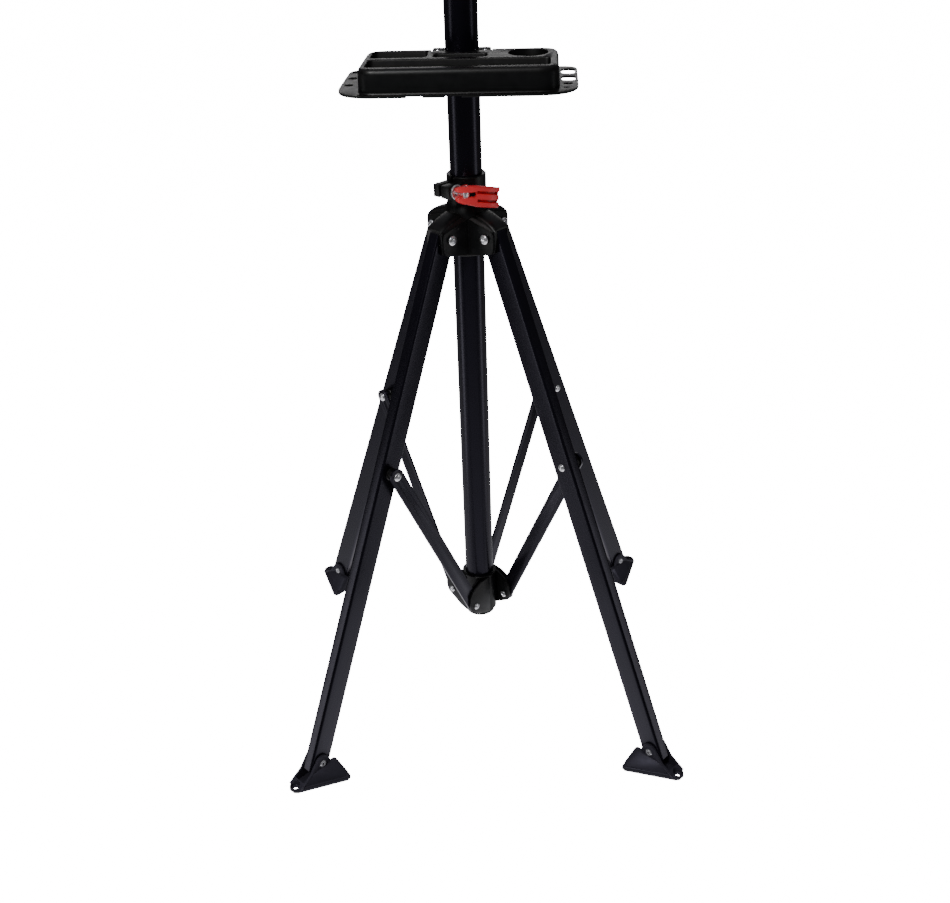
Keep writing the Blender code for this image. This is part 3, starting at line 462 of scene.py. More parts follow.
def lever_mesh():
    """A forked cam head on the barrel, and a ridged grip that curls round the collar and droops."""
    start, end, stations = 47, 95, 60
    head = [((0.0388, 0.0200), (0.0268, 0.0203), 0.0066), ((0.0400, 0.0206), (0.0256, 0.0208), 0.0074),
            ((0.0412, 0.0240), (0.0254, 0.0226), 0.0084), ((0.0409, 0.0280), (0.0262, 0.0250), 0.0094),
            ((0.0395, 0.0315), (0.0272, 0.0275), 0.0102), ((0.0373, 0.0340), (0.0284, 0.0297), 0.0108)]
    rings = [lever_section(outer, inner, half, 0, 0) for outer, inner, half in head]
    for i in range(stations + 1):
        share = i / stations
        angle = math.radians(start + (end - start) * share)
        thick = 0.0036 - 0.0003 * share - 0.0016 * (max(0, share - 0.95) / 0.05) ** 2
        half = 0.0110 + 0.0013 * min(1, 4 * share) - 0.0012 * max(0, share - 0.9) / 0.1
        groove = 0.0058 * min(1, max(0, (share - 0.26) / 0.02))
        points = [((LEVER_R + side * thick) * math.cos(angle), (LEVER_R + side * thick) * math.sin(angle))
                  for side in (1, -1)]
        ring = lever_section(*points, half, groove, max(0, (share - 0.86) / 0.14) ** 2)
        drop = LEVER_DROOP * (0.12 + 0.88 * share) ** 1.3
        rings.append([(x, y, z - drop) for x, y, z in ring])
    sector = arc((0, 0), 0.022, 8, 58, 12) + arc((0, 0), 0.062, 58, 8, 12)
    body = cut(lofted(rings), plate([sector], 0.0068, "XY"))
    return cut(body, rod(0.0040, -0.02, 0.02, "Z", (*BARREL, 0), 40))


def threaded_rod(radius, low, high, pitch):
    """A rod along Y with a thread's ridges as rings of one pitch."""
    count = round((high - low) / pitch)
    outline = [(radius - (0.00022 if i % 2 else 0), low + (high - low) * i / count) for i in range(count + 1)]
    return turned(outline + [(0, high), (0, low)], 32, "Y")


def build_clamp(prefix, z):
    """The stud and its barrel, cup washer and nut, and the lever."""
    place = in_frame(CLAMP_TURN) @ Matrix.Translation((0, 0, z))
    body = {"lower": "hub", "upper": "mast"}[prefix]
    stud = moved(threaded_rod(STUD_R, -0.0168, STUD_END, 0.0005), Matrix.Translation((CLAMP_REACH, 0, 0)))
    barrel = bevelled(rod(BARREL_R, -0.0098, 0.0098, "Z", (*BARREL, 0)), 0.0005, 2)
    show(prefix + "_stud", moved(join(stud, barrel), place), "bright_steel", body, prefix + "_clamp_stud")
    profile = [(WASHER_R, 0.0020), (0.0082, 0.0023), (0.0074, 0.0011), (0.0030, 0.0011), (0.0030, 0),
               (WASHER_R, 0)]
    cup = turned(profile, 56, "Y", (CLAMP_REACH, CAM_LUG_OUT + 0.0002, 0))
    show(prefix + "_washer", moved(cup, place), "bright_steel", body, prefix + "_clamp_washer")
    nut = cut(rod(NUT_R, -0.0160, -NUT_LUG_OUT - 0.0003, "Y", (CLAMP_REACH, 0, 0), 6),
              rod(STUD_HOLE_R, -0.02, 0, "Y", (CLAMP_REACH, 0, 0)))
    nut = moved(bevelled(nut, 0.0004, 2, 25), place)
    show(prefix + "_nut", nut, "bright_steel", body, prefix + "_clamp_nut")
    lever = moved(lever_mesh(), place)
    show(prefix + "_lever_skin", lever, "red_plastic", prefix + "_lever", prefix + "_clamp_lever")


def clamp_lugs(z):
    """The two eased lugs of a split collar."""
    lugs = []
    for side, out in ((-1, NUT_LUG_OUT), (1, CAM_LUG_OUT)):
        size = (0.027, out - LUG_IN, CLAMP_HEIGHT)
        lugs.append(bevelled(block(size, (0.0305, side * (LUG_IN + out) / 2, z)), 0.0008, 2))
    return lugs


def clamp_cuts(z, low, high):
    """The split, and the stud's hole."""
    split = block((0.050, 2 * LUG_IN + 0.0002, high - low), (0.037, 0, (high + low) / 2))
    return [split, rod(STUD_HOLE_R, -0.03, 0.03, "Y", (CLAMP_REACH, 0, z), 40)]


# ---- Hub ---------------------------------------------------------------------------------------------

ARM_BOTTOM = 0.6455
ROOF_HALF, WEB_HALF = 0.0128, 0.0122
BOSS_HALF, BOSS_TAPER = 0.0190, 0.115


def boss_half_at(r):
    """Half the width over a leg's side bosses at a radius."""
    return BOSS_HALF - BOSS_TAPER * (r - 0.019)


def roof_mesh():
    """A leg's roof: an arch whose crown falls outwards and whose shoulders round over to its sides."""
    crown = [(0.010, 0.6925), (0.0220, 0.6890), (0.0340, 0.6858), (0.0450, 0.6815), (0.0520, 0.6780),
             (0.0565, 0.6740)]
    rings = []
    for r, top in crown:
        turns = [math.radians(a) for a in range(0, 91, 10)]
        shoulder = [(ROOF_HALF * math.sin(turn) ** 0.75, top - 0.0050 + 0.0050 * math.cos(turn) ** 0.8)
                    for turn in turns]
        shoulder = [(min(ROOF_HALF, y), z) for y, z in shoulder]
        ring = [(-y, z) for y, z in shoulder[::-1]] + shoulder[1:]
        ring += [(ROOF_HALF, ARM_BOTTOM), (-ROOF_HALF, ARM_BOTTOM)]
        rings.append([(r, y, z) for y, z in ring])
    return lofted(rings)


def boss_mesh():
    """The thick side bosses around a leg's pivot, thinning outwards, with a wide eased edge."""
    corners = [(0.012, 0.6355), (0.0550, 0.6430), (0.0550, 0.6705), (0.0200, 0.6810), (0.012, 0.6820)]
    outline = rounded(corners, [0, 0.010, 0.006, 0, 0], 7)
    mesh = bevelled(plate([outline], 2 * BOSS_HALF), 0.0016, 4, 50)
    for vertex in mesh.vertices:
        vertex.co.y *= boss_half_at(vertex.co.x) / BOSS_HALF
    return mesh


def web_mesh():
    """The skin that slopes from a roof's shoulders down to its side bosses."""
    crown = ((0.0120, 0.6905), (0.0220, 0.6880), (0.0340, 0.6848), (0.0450, 0.6805), (0.0540, 0.6750))
    rings = []
    for r, top in crown:
        boss_top = 0.6812 - 0.30 * (r - 0.020)
        boss_half = boss_half_at(r) - 0.0012
        shoulder = top - 0.0040
        middle = ((WEB_HALF + boss_half) / 2, (shoulder + boss_top) / 2 + 0.0007)
        side = [(WEB_HALF, shoulder), middle, (boss_half, boss_top - 0.0002), (boss_half, ARM_BOTTOM)]
        rings.append([(r, y, z) for y, z in side] + [(r, -y, z) for y, z in side[::-1]])
    return lofted(rings)


def build_hub():
    low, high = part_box("hub")
    sleeve = turned([(0.0245, low.z + 0.0015), (0.0230, low.z), (0.0150, low.z), (0.0150, high.z),
                     (0.0225, high.z), (0.0235, high.z - 0.0010), (0.0235, 0.6980), (0.0245, 0.6930),
                     (0.0270, 0.6885), (0.0265, 0.6500)])
    lugs = [moved(lug, in_frame(CLAMP_TURN)) for lug in clamp_lugs(LOWER_CLAMP_Z)]
    body = join(sleeve, *around(boss_mesh()), *around(web_mesh()), *around(roof_mesh()), *lugs)
    body = cut(body, rod(MAST_R + 0.0018, low.z - 0.01, high.z + 0.01, sides=96))
    under = [(0.0262, low.z - 0.010), (0.0800, low.z - 0.010), (0.0800, 0.6715), (0.0565, 0.6715),
             (0.0440, 0.6783), (0.0262, 0.6798)]
    pin_room = rod(HOLE_R, -0.03, 0.03, "Y", (HUB_PIVOT[0], 0, HUB_PIVOT[1]), 32)
    body = cut(body, *around(plate([under], 2 * SLOT)), *around(pin_room))
    split = [moved(tool, in_frame(CLAMP_TURN)) for tool in clamp_cuts(LOWER_CLAMP_Z, 0.7020, high.z + 0.01)]
    show("hub_skin", cut(body, *split), "black_plastic", "hub", "hub")
    pin = headed_pin(-0.0173, 0.0173, 0.0060, 0.0036)
    pin.transform(Matrix.Translation((HUB_PIVOT[0], 0, HUB_PIVOT[1])))
    show_around("leg_pivot_pin", pin, "bright_steel", "hub", "leg_pivot_bolt_")


# ---- Tray --------------------------------------------------------------------------------------------

RIM_Z, PLATE_Z, PLATE_THICK = 0.870, 0.8445, 0.0025
PLATE_CORNERS = [(-0.1305, -0.114), (0.1295, -0.114), (0.1295, 0.023), (-0.1305, 0.023)]
PLATE_RADII = [0.044, 0.044, 0.018, 0.018]
DECK, DECK_CORNER_R = (-0.1065, 0.1085, -0.1060, 0.0020), 0.021
WELL_CORNER_R = 0.006
NOTCHES_X = (-0.0443, -0.0030)
SCREW_AT = (0.0265, 0.868)
# Each well is (left, right, front, back), and each slot (x, y, width, depth).
WELLS = ((-0.0990, -0.0370, -0.0430, -0.0045), (-0.0295, 0.0300, -0.0445, -0.0248),
         (-0.0990, 0.0992, -0.0920, -0.0545))
CUP_R, CUP_AT = 0.0222, (0.0748, -0.0250, 0)
TOOL_SLOTS = ((-0.1235, 0.010, 0.0090, 0.0115), (-0.1220, -0.023, 0.0100, 0.0115),
              (-0.1215, -0.058, 0.0100, 0.0115), (-0.1020, -0.1085, 0.007, 0.004),
              (0.1190, -0.004, 0.0155, 0.027), (0.1190, -0.040, 0.0155, 0.024),
              (0.1182, -0.068, 0.011, 0.009), (0.1165, -0.0865, 0.007, 0.005))


def rounded_box(x0, x1, y0, y1, radius, z, steps=8):
    """One level ring of a rounded box."""
    return [(x, y, z) for x, y in rounded([(x0, y0), (x1, y0), (x1, y1), (x0, y1)], radius, steps)]


def drafted(bounds, radius, levels):
    """A rounded box through levels, each a height and how far it lies outside the bounds."""
    x0, x1, y0, y1 = bounds
    return lofted([rounded_box(x0 - out, x1 + out, y0 - out, y1 + out, max(radius + out, 0.001), z)
                   for z, out in levels])


def tray_mesh():
    """A drafted deck on a wider plate, with wells, a cup, tool slots and notches along the front."""
    skirt = moved(plate([rounded(PLATE_CORNERS, PLATE_RADII, 14)], PLATE_THICK, "XY"),
                  Matrix.Translation((0, 0, PLATE_Z - PLATE_THICK / 2)))
    bottom = PLATE_Z - PLATE_THICK
    levels = [(bottom, 0.0010), (PLATE_Z, 0.0010), (PLATE_Z + 0.0010, 0.0004), (PLATE_Z + 0.0018, 0.0003)]
    levels += [(RIM_Z - 0.0056, -0.0001), (RIM_Z - 0.0045, -0.0003), (RIM_Z - 0.0026, -0.0009),
               (RIM_Z - 0.0011, -0.0019), (RIM_Z - 0.0003, -0.0031), (RIM_Z, -0.0045)]
    deck = drafted(DECK, DECK_CORNER_R, levels)
    tray = join(bevelled(skirt, 0.0006, 2, 60), deck)
    floor = PLATE_Z + 0.0005
    hollows = []
    for well in WELLS:
        levels = [(floor, -0.0030), (floor + 0.0009, -0.0014), (floor + 0.0030, -0.0008), (RIM_Z - 0.0016, 0),
                  (RIM_Z - 0.0005, 0.0005), (RIM_Z, 0.0016), (RIM_Z + 0.002, 0.0036)]
        hollows.append(drafted(well, WELL_CORNER_R, levels))
    hollows.append(turned([(0, floor), (CUP_R - 0.0025, floor), (CUP_R - 0.0010, floor + 0.002),
                           (CUP_R - 0.0004, RIM_Z - 0.0016), (CUP_R, RIM_Z - 0.0005), (CUP_R + 0.0011, RIM_Z),
                           (CUP_R + 0.0031, RIM_Z + 0.002), (0, RIM_Z + 0.002)], 72, "Z", CUP_AT))
    hollows.append(rod(MAST_R + 0.0040, PLATE_Z - 0.02, RIM_Z + 0.02, sides=96))
    hollows.append(block((0.069, 0.030, 0.030), (0, 0.0056, RIM_Z + 0.006)))
    for x, y, width, depth in TOOL_SLOTS:
        outline = rounded(rectangle(width, depth, (x, y)), min(width, depth) * 0.48, 8)
        hollows.append(moved(plate([outline], 0.02, "XY"), Matrix.Translation((0, 0, PLATE_Z))))
    for x in NOTCHES_X:
        hollows.append(block((0.0180, 0.020, 0.02), (x, -0.1110, PLATE_Z - 0.0110)))
    return cut(tray, *hollows)


def build_tray():
    """The tray, its two-part clamp round the mast and the two screws, turned slightly about the mast."""
    turn = Matrix.Rotation(TRAY_TURN, 4, "Z")
    show("tool_tray_shell", moved(tray_mesh(), turn), "black_plastic", "mast", "tool_tray")
    ring = turned([(MAST_R + GAP, PLATE_Z - 0.010), (MAST_R + 0.0026, PLATE_Z - 0.010),
                   (MAST_R + 0.0030, PLATE_Z - 0.0096), (MAST_R + 0.0030, RIM_Z - 0.0004),
                   (MAST_R + 0.0026, RIM_Z), (MAST_R + GAP, RIM_Z)])
    ears = bevelled(block((0.066, 0.0120, 0.0095), (0, 0, SCREW_AT[1] - 0.0018)), 0.0020, 4)
    ears = cut(ears, rod(MAST_R + 0.001, 0.8, 0.95, sides=72))
    strap = join(ring, ears)
    for side in (-1, 1):
        strap = cut(strap, rod(0.0021, -0.02, 0.02, "Y", (side * SCREW_AT[0], 0, SCREW_AT[1] - 0.0005), 32))
    for name, sign in (("front", 1), ("rear", -1)):
        away = block((0.2, 0.1, 0.2), (0, sign * (0.05 - 0.0006), RIM_Z))
        half = moved(cut(strap, away), turn)
        show("tray_clamp_half_" + name, half, "black_plastic", "mast", "tray_clamp_" + name)
    for name, side in (("left", -1), ("right", 1)):
        screw = headed_pin(-0.0063, 0.0063, 0.0032, 0.0018, 0.0013, 0.0018)
        place = turn @ Matrix.Translation((side * SCREW_AT[0], 0, SCREW_AT[1] - 0.0005))
        show("tray_clamp_screw_" + name, moved(screw, place), "bright_steel", "mast", "tray_screw_" + name)


# ---- Telescoping top and work clamp ------------------------------------------------------------------

MAST_TOP, COLLAR_BOTTOM_Z, COLLAR_TOP_Z = 1.02, 0.972, 1.042
INNER_TOP, HEAD_Z, SCREW_X = 1.30, 1.335, 0.137


def build_upper_collar():
    """The split collar on the mast's top, whose upper end rings the inner tube."""
    lip, inside = MAST_TOP - 0.010, INNER_R + 0.0016
    body = turned([(0.0225, lip - 0.0025), (0.0225, COLLAR_BOTTOM_Z + 0.0008), (0.0217, COLLAR_BOTTOM_Z),
                   (0.0120, COLLAR_BOTTOM_Z), (0.0120, COLLAR_TOP_Z), (0.0225, COLLAR_TOP_Z),
                   (0.0232, COLLAR_TOP_Z - 0.0003), (0.0235, COLLAR_TOP_Z - 0.0010), (0.0235, lip)], 96)
    frame_turn = in_frame(CLAMP_TURN)
    body = join(body, *[moved(lug, frame_turn) for lug in clamp_lugs(UPPER_CLAMP_Z)])
    openings = [moved(piece, frame_turn) for piece in clamp_cuts(UPPER_CLAMP_Z, 0.996, COLLAR_TOP_Z + 0.018)]
    body = cut(body, rod(MAST_R + GAP, COLLAR_BOTTOM_Z - 0.01, MAST_TOP + GAP, sides=96),
               rod(inside, MAST_TOP - 0.01, COLLAR_TOP_Z + 0.01, sides=96), *openings)
    show("upper_collar_body", body, "black_plastic", "mast", "upper_collar")


def at_head(mesh):
    return moved(mesh, Matrix.Translation((0, 0, HEAD_Z)))


def build_tilt():
    """The tee on the inner tube, the spindle that turns in it and the lobed knob that locks it."""
    low, high = INNER_TOP - 0.046, INNER_TOP + 0.010
    socket = turned([(0.0200, high), (0.0206, low + 0.006), (0.0218, low + 0.005), (0.0218, low + 0.0008),
                     (0.0210, low), (0.0150, low), (0.0150, high)], 96)
    barrel = turned([(0.0080, -0.026), (0.0195, -0.026), (0.0205, -0.025), (0.0205, 0.029), (0.0195, 0.030),
                     (0.0080, 0.030)], 96, "X", (0, 0, HEAD_Z))
    web = bevelled(block((0.032, 0.030, 0.030), (0, 0, HEAD_Z - 0.020)), 0.004, 4)
    tee = cut(join(socket, barrel, web), rod(INNER_R + GAP, INNER_TOP - 0.06, INNER_TOP + GAP, sides=96),
              rod(0.0102, -0.05, 0.05, "X", (0, 0, HEAD_Z), 72))
    show("head_tee_body", tee, "black_plastic", "inner_mast", "head_tee")
    spindle = turned([(0, 0.0740), (0.0094, 0.0740), (0.0100, 0.0734), (0.0100, 0.0380), (0.0184, 0.0362),
                      (0.0190, 0.0356), (0.0190, 0.0311), (0.0184, 0.0305), (0.0099, 0.0305),
                      (0.0099, -0.0290), (0.0040, -0.0290), (0.0040, -0.0434), (0.0034, -0.0440),
                      (0, -0.0440)], 72, "X")
    show("head_spindle_bar", at_head(spindle), "bright_steel", "clamp_head", "head_spindle")
    outline, sides, lobes = [], 144, 6
    for k in range(sides):
        turn = 2 * math.pi * k / sides
        radius = 0.0202 + 0.0027 * math.cos(lobes * turn)
        outline.append((radius * math.cos(turn), radius * math.sin(turn)))
    levels = ((-0.0500, 0.72), (-0.0496, 0.86), (-0.0486, 0.96), (-0.0470, 1), (-0.0330, 1), (-0.0310, 0.95),
              (-0.0302, 0.85), (-0.0300, 0.70))
    knob = lofted([[(x, share * y, share * z) for y, z in outline] for x, share in levels])
    knob = cut(knob, rod(0.0043, -0.0460, 0, "X"))
    show("tilt_knob_lobes", at_head(knob), "black_plastic", "tilt_knob", "tilt_knob")


def jaw_pad(centre_z, groove_z, ribs_z):
    """A rubber pad with a groove along Y for a round tube, and fine ribs across its face."""
    pad = bevelled(block((0.060, 0.030, 0.008), (SCREW_X, 0, centre_z)), 0.0014, 3)
    pad = cut(pad, rod(0.0180, -0.03, 0.03, "Y", (SCREW_X, 0, groove_z), 96))
    ribs = [block((0.0012, 0.04, 0.0016), (SCREW_X + side * (0.0205 + 0.0028 * k), 0, ribs_z))
            for side in (-1, 1) for k in range(3)]
    return at_head(cut(pad, *ribs))


def build_jaws():
    """The C-shaped frame with its fixed lower jaw, the sliding upper jaw, and the screw with its bar."""
    arm_in, arm_out, spine, throat, nose = 0.036, 0.052, 0.0600, 0.0960, 0.1680
    corners = [(spine, -arm_out), (nose, -arm_out), (nose, -arm_in), (throat, -arm_in), (throat, arm_in),
               (nose, arm_in), (nose, arm_out), (spine, arm_out)]
    radii = [0.014, 0.006, 0.004, 0.008, 0.008, 0.004, 0.006, 0.014]
    shape = bevelled(plate([rounded(corners, radii, 10)], 0.026), 0.0024, 4, 50)
    boss = turned([(0.0040, 0.040), (0.0120, 0.040), (0.0120, 0.0592), (0.0112, 0.060), (0.0040, 0.060)],
                  72, "Z", (SCREW_X, 0, 0))
    shape = cut(join(shape, boss), rod(0.0103, 0.05, 0.0745, "X", sides=72),
                rod(0.0058, 0.02, 0.08, "Z", (SCREW_X, 0, 0), 72))
    show("jaw_frame_body", at_head(shape), "black_paint", "clamp_head", "jaw_frame")
    lower_pad = jaw_pad(-0.0317, -0.0120, -0.0277)
    show("lower_jaw_rubber", lower_pad, "black_rubber", "clamp_head", "lower_jaw_pad")
    jaw = bevelled(block((0.064, 0.030, 0.009), (SCREW_X, 0, 0.0135)), 0.0018, 4)
    neck = [(0, 0.0165), (0.0108, 0.0165), (0.0100, 0.0200), (0.0100, 0.0229), (0.0094, 0.0235), (0, 0.0235)]
    jaw = join(jaw, turned(neck, 72, "Z", (SCREW_X, 0, 0)))
    jaw = cut(jaw, rod(0.0062, 0.0155, 0.03, "Z", (SCREW_X, 0, 0), 72))
    show("moving_jaw_body", at_head(jaw), "black_paint", "moving_jaw", "moving_jaw")
    show("upper_jaw_rubber", jaw_pad(0.0047, -0.0150, 0.0007), "black_rubber", "moving_jaw", "upper_jaw_pad")
    bar_z, pitch, low, high = 0.0990, 0.0020, 0.0175, 0.0880
    count = 2 * round((high - low) / pitch)
    thread = [(0.0054 if i % 2 else 0.0046, low + (high - low) * i / count) for i in range(count + 1)]
    tail = [(0, 0.0160), (0.0040, 0.0160)]
    head = [(0.0050, 0.0895), (0.0088, 0.0900), (0.0095, 0.0908), (0.0095, 0.1066), (0.0086, 0.1077),
            (0.0070, 0.1080), (0, 0.1080)]
    screw = turned(tail + thread + head, 72, "Z", (SCREW_X, 0, 0))
    screw = cut(screw, rod(0.0039, -0.03, 0.03, "Y", (SCREW_X, 0, bar_z)))
    show("jaw_screw_thread", at_head(screw), "bright_steel", "jaw_screw", "jaw_screw")
    near_end = [(0.0035, -0.0380), (0.0052, -0.0382), (0.0060, -0.0392), (0.0060, -0.0460),
                (0.0050, -0.0475), (0.0030, -0.0480)]
    far_end = [(r, -y) for r, y in reversed(near_end)]
    bar = turned([(0, 0.0480)] + far_end + near_end + [(0, -0.0480)], 48, "Y", (SCREW_X, 0, bar_z))
    show("jaw_screw_handle", at_head(bar), "bright_steel", "jaw_screw", "jaw_screw_bar")


# ---- Legs, feet and braces ---------------------------------------------------------------------------

def leg_mesh():
    """A leg's tube along -Z from its pivot, its corners well rounded and its top turned round the pivot."""
    outer = rounded(rectangle(LEG_DEPTH, LEG_WIDTH), 0.0034, 6)
    inner = rounded(rectangle(LEG_DEPTH - 2 * LEG_WALL, LEG_WIDTH - 2 * LEG_WALL), 0.0020, 4)
    half, tail = LEG_DEPTH / 2, 0.012
    length = LEG_LENGTH + tail + half
    tube = moved(plate([outer, inner], length, "XY"), Matrix.Translation((0, 0, half - length / 2)))
    crown = [(-half - 0.01, 0.0), (-half, 0.0)] + arc((0, 0), half, 180, 0, 24)[1:-1]
    crown += [(half, 0.0), (half + 0.01, 0.0), (half + 0.01, 0.03), (-half - 0.01, 0.03)]
    holes = [rod(HOLE_R, -0.02, 0.02, "Y", (0, 0, z), 32) for z in (0, -BRACE_ON_LEG, -LEG_LENGTH)]
    return cut(tube, plate([crown], 0.05), *holes)


def foot_mesh():
    """The arrow-shaped foot: a skirt that spreads to the heel, and two ears that hold the leg's rivet."""
    floor = -ANKLE[1]
    toe, heel, eye, eye_r = 0.0452, -0.0245, 0.0385, 0.0031
    toe_half, heel_half = 0.0088, 0.0388
    levels = [(0.0, -0.0006), (0.0009, 0.0), (0.0040, 0.0), (0.0058, -0.0008), (0.0066, -0.0020)]
    rings = []
    for height, grow in levels:
        base = []
        for side in (1, -1):
            wing = [(toe + grow, side * 0.0040), (toe - 0.004, side * (toe_half + grow)),
                    (heel + 0.007, side * (heel_half + grow)), (heel + 0.001, side * (0.0374 + grow)),
                    (heel - grow, side * 0.031)]
            base += wing if side == 1 else wing[::-1]
        rings.append([(x, y, floor + height) for x, y in rounded(base, 0.003, 4)])
    skirt = lofted(rings)
    work = bmesh.new()
    peaks = [(0.038, 0.0080, 0.0062), (0.029, 0.0098, 0.0118), (0.012, 0.0124, 0.0184),
             (-0.010, 0.0150, 0.0212), (-0.019, 0.0148, 0.0208), (-0.0225, 0.0120, 0.0185),
             (-0.0240, 0.0315, 0.0072), (-0.017, 0.0352, 0.0066)]
    for x, y, z in peaks:
        for side in (-1, 1):
            work.verts.new((x, side * y, floor + z))
            work.verts.new((x, side * y, floor + 0.003))
    made = bmesh.ops.convex_hull(work, input=work.verts)
    loose = [v for v in made["geom_interior"] if isinstance(v, bmesh.types.BMVert)]
    bmesh.ops.delete(work, geom=loose, context="VERTS")
    wedge = bevelled(from_bmesh(work), 0.0007, 2, 20)
    outline = [(-0.0200, floor + 0.004), (0.0400, floor + 0.005), (0.0200, floor + 0.0175)]
    outline += arc((0, 0), 0.0118, 48, 190, 20)
    ears = bevelled(plate([outline], 0.0232), 0.0009, 3, 50)
    body = join(skirt, wedge, ears)
    channel = block((0.0625, 2 * SLOT, 0.060), (-0.0002, 0, floor + 0.0335))
    toe_room = [(0, 0.0022), (0.0046, 0.0022), (0.0054, 0.0030), (0.0062, 0.0080), (0.0080, 0.0300),
                (0, 0.0300)]
    toe_room = turned([(r, floor + z) for r, z in toe_room], 48, "Z", (eye, 0, 0))
    eye_hole = rod(eye_r, floor - 0.01, 0.03, "Z", (eye, 0, 0), 40)
    return cut(body, channel, toe_room, eye_hole, rod(HOLE_R, -0.02, 0.02, "Y", sides=32))


def brace_mesh():
    """A flat brace along +Z from its foot, with rounded ends and eased edges."""
    half, thick = 0.010, BRACE_OUT - BRACE_IN
    outline = arc((0, 0), half, 180, 360, 24) + arc((0, BRACE_LENGTH), half, 0, 180, 24)
    holes = [arc((0, z), HOLE_R, 0, 345, 23) for z in (0, BRACE_LENGTH)]
    bar = bevelled(plate([outline, *holes], thick), 0.0006, 3, 50)
    bar.transform(Matrix.Translation((0, (BRACE_IN + BRACE_OUT) / 2, 0)))
    return bar


def spacer_mesh():
    """The round spacer that stands a brace off its leg, waisted between two rims."""
    low, high = HALF_LEG + GAP, BRACE_IN - 0.0001
    rim, waist = 0.0080, 0.0074
    profile = [(rim, low + 0.0004), (rim, low + 0.0016), (waist, low + 0.0022), (waist, high - 0.0022),
               (rim, high - 0.0016), (rim, high - 0.0003), (0.0077, high), (HOLE_R, high), (HOLE_R, low),
               (0.0076, low)]
    return turned(profile, 56, "Y")


def build_legs():
    lean = Matrix.Translation((HUB_PIVOT[0], 0, HUB_PIVOT[1])) @ Matrix.Rotation(-LEG_LEAN, 4, "Y")
    rise = Matrix.Translation((BRACE_FOOT[0], 0, BRACE_FOOT[1])) @ Matrix.Rotation(BRACE_LEAN, 4, "Y")
    show_around("leg_skin", moved(leg_mesh(), lean), "black_paint", "leg_", "leg_")
    leg_end = lean @ Matrix.Translation((0, 0, -LEG_LENGTH))
    rivet = moved(hollow_rivet(-0.0117, 0.0117, 0.0048, 0.0016), leg_end)
    show_around("foot_rivet_skin", rivet, "bright_steel", "leg_", "foot_rivet_")
    far_side = lean @ Matrix.Translation((0, -HALF_LEG - 0.0001, -BRACE_ON_LEG))
    far_side = far_side @ Matrix.Rotation(math.pi / 2, 4, "X")
    show_around("brace_far_head", moved(button_head(0.0050, 0.0027), far_side), "bright_steel", "leg_")
    ankle = Matrix.Translation((ANKLE[0], 0, ANKLE[1]))
    show_around("foot_skin", moved(foot_mesh(), ankle), "foot_plastic", "foot_", "foot_")
    show_around("brace_skin", moved(brace_mesh(), rise), "black_paint", "brace_", "brace_")
    knee = rise @ Matrix.Translation((0, 0, BRACE_LENGTH))
    show_around("brace_spacer", moved(spacer_mesh(), knee), "black_plastic", "brace_")
    shank = rod(BOLT_R, HALF_LEG + 2 * GAP, BRACE_OUT + GAP + 0.0002, "Y")
    head = moved(button_head(0.0056, 0.0030), Matrix.Translation((0, BRACE_OUT + GAP, 0)) @ AXIS_TURNS["Y"])
    show_around("brace_bolt_skin", moved(join(shank, head), knee), "bright_steel", "brace_", "brace_bolt_")


# ---- Camera, light and floor -------------------------------------------------------------------------

CAMERA_AT = Vector((-0.0006, -1.4051, 1.1316))
CAMERA_PITCH = math.radians(28.99)
CAMERA_ROLL = math.radians(-1.95)
LENS_MM = 45.79
SHELL_GLOW = 16.0
SHELL_SIDES = 48
SKY_STRENGTH = 1.5
SKY_LEVELS = ((0.16, 0.62), (0.26, 0.20), (0.33, 0.035), (0.52, 0.022), (0.70, 0.045))
# Each light's name, place, size, power in watts and target.
LIGHTS = (
    ("left_softbox", (-2.2, -0.5, -0.1), (0.5, 1.5), 4.5, (0, 0, 0.35)),
    ("right_softbox", (2.2, -0.5, -0.1), (0.5, 1.5), 3.5, (0, 0, 0.35)),
    ("key_softbox", (-1.0, -1.7, 2.5), (0.6, 0.6), 36, (0, 0, 0.7)),
    ("back_softbox", (0.1, 2.3, 1.38), (2.0, 0.4), 5, (0, 0, 0.87)),
)


def add_camera():
    data = bpy.data.cameras.new("camera")
    data.lens = LENS_MM
    data.sensor_width = 36
    data.sensor_fit = "HORIZONTAL"
    data.clip_start = 0.01
    camera = bpy.data.objects.new("camera", data)
    bpy.context.scene.collection.objects.link(camera)
    look = Vector((0, math.cos(CAMERA_PITCH), -math.sin(CAMERA_PITCH)))
    up = Vector((0, math.sin(CAMERA_PITCH), math.cos(CAMERA_PITCH)))
    right = Vector((1, 0, 0))
    x_axis = math.cos(CAMERA_ROLL) * right + math.sin(CAMERA_ROLL) * up
    y_axis = math.cos(CAMERA_ROLL) * up - math.sin(CAMERA_ROLL) * right
    turn = Matrix((x_axis, y_axis, -look)).transposed().to_4x4()
    camera.matrix_world = Matrix.Translation(CAMERA_AT) @ turn
    bpy.context.scene.camera = camera


def add_light(name, position, size, power, target):
    data = bpy.data.lights.new(name, "AREA")
    data.shape = "RECTANGLE"
    data.size, data.size_y = size
    data.energy = power
    light = bpy.data.objects.new(name, data)
    bpy.context.scene.collection.objects.link(light)
    light.location = position
    light.rotation_euler = (Vector(target) - Vector(position)).to_track_quat("-Z", "Y").to_euler()


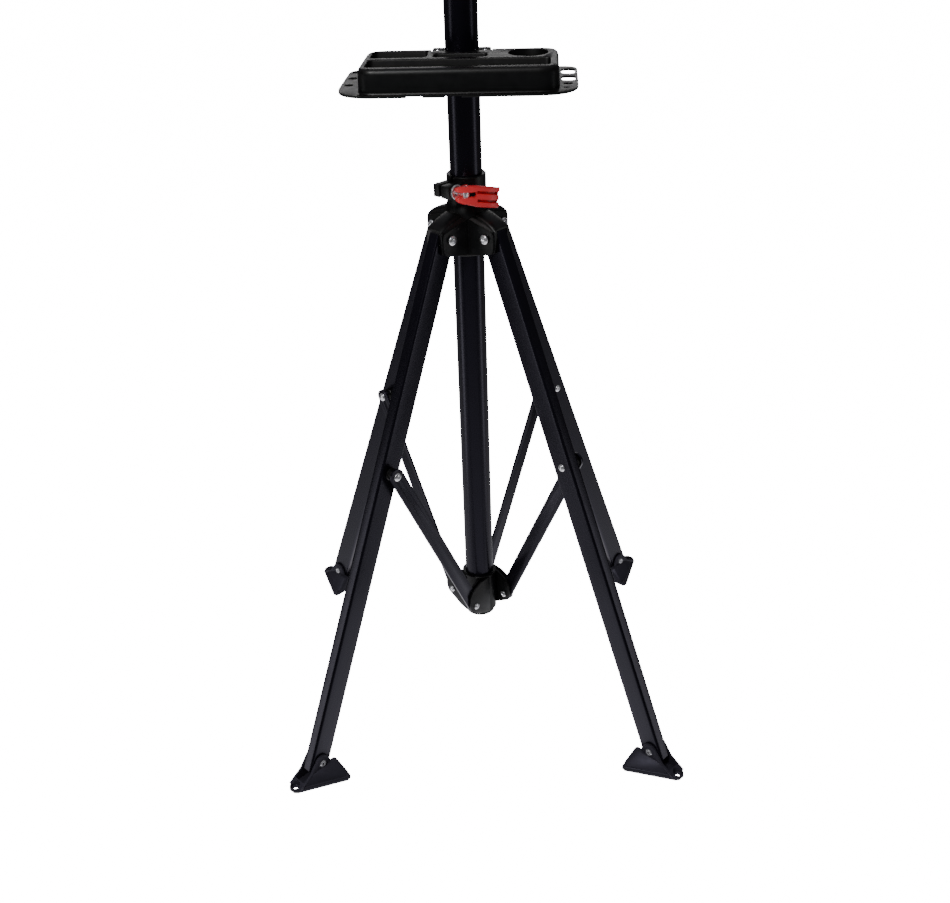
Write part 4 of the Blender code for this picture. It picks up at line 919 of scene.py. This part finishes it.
def studio_shell():
    """A floor that curves up into a dome, lit from within itself and seen only by the camera."""
    radius, flat = 6.0, 4.0
    profile = [(0, 0), (flat, 0)] + arc((flat, radius - flat), radius - flat, 270, 360, 10)[1:]
    profile += arc((0, radius - flat), radius, 0, 90, 12)[1:-1] + [(0, 2 * radius - flat)]
    work = bmesh.new()
    rings = []
    for i in range(SHELL_SIDES):
        turn = 2 * math.pi * i / SHELL_SIDES
        rings.append([work.verts.new((r * math.cos(turn), r * math.sin(turn), z)) for r, z in profile])
    for i, ring in enumerate(rings):
        following = rings[(i + 1) % SHELL_SIDES]
        for k in range(len(profile) - 1):
            work.faces.new((ring[k], following[k], following[k + 1], ring[k + 1]))
    bmesh.ops.dissolve_degenerate(work, dist=1e-6, edges=work.edges)
    shell = bpy.data.objects.new("studio_shell", from_bmesh(work))
    bpy.context.scene.collection.objects.link(shell)
    shell.data.shade_smooth()
    material = bpy.data.materials.new("studio_white")
    material.use_nodes = True
    shader = material.node_tree.nodes["Principled BSDF"]
    shader.inputs["Base Color"].default_value = (0.93, 0.93, 0.93, 1)
    shader.inputs["Roughness"].default_value = 0.9
    shader.inputs["Specular IOR Level"].default_value = 0.0
    shader.inputs["Emission Color"].default_value = (1, 1, 1, 1)
    shader.inputs["Emission Strength"].default_value = SHELL_GLOW
    shell.data.materials.append(material)
    shell.visible_diffuse = False
    shell.visible_glossy = False
    shell.visible_shadow = False


def add_sky():
    """Soft light from all round: dim from the sides and above, and bright from the white floor below."""
    world = bpy.data.worlds.new("studio")
    bpy.context.scene.world = world
    world.use_nodes = True
    nodes, links = world.node_tree.nodes, world.node_tree.links
    place = nodes.new("ShaderNodeTexCoord")
    split = nodes.new("ShaderNodeSeparateXYZ")
    links.new(place.outputs["Generated"], split.inputs["Vector"])
    height = nodes.new("ShaderNodeMapRange")
    height.inputs["From Min"].default_value = -1
    height.inputs["From Max"].default_value = 1
    links.new(split.outputs["Z"], height.inputs["Value"])
    ramp = nodes.new("ShaderNodeValToRGB")
    ramp.color_ramp.elements[0].color = (1.0, 0.97, 1.0, 1)
    ramp.color_ramp.elements[1].color = (0.20, 0.20, 0.22, 1)
    for position, level in SKY_LEVELS:
        ramp.color_ramp.elements.new(position).color = (level, level, 1.06 * level, 1)
    links.new(height.outputs["Result"], ramp.inputs["Fac"])
    links.new(ramp.outputs["Color"], nodes["Background"].inputs["Color"])
    nodes["Background"].inputs["Strength"].default_value = SKY_STRENGTH


def add_studio():
    add_sky()
    for light in LIGHTS:
        add_light(*light)
    studio_shell()


def finish_kept_nodes():
    """The CAD nodes that stay get the finish of their slot."""
    for node in NODES.values():
        slot = node.data.materials[0].name.split(".")[0]
        node.data.materials[0] = FINISHES[slot]


build_mast()
build_bottom_collar()
build_hub()
build_clamp("lower", LOWER_CLAMP_Z)
build_clamp("upper", UPPER_CLAMP_Z)
build_legs()
build_tray()
build_upper_collar()
build_tilt()
build_jaws()
finish_kept_nodes()
add_camera()
add_studio()
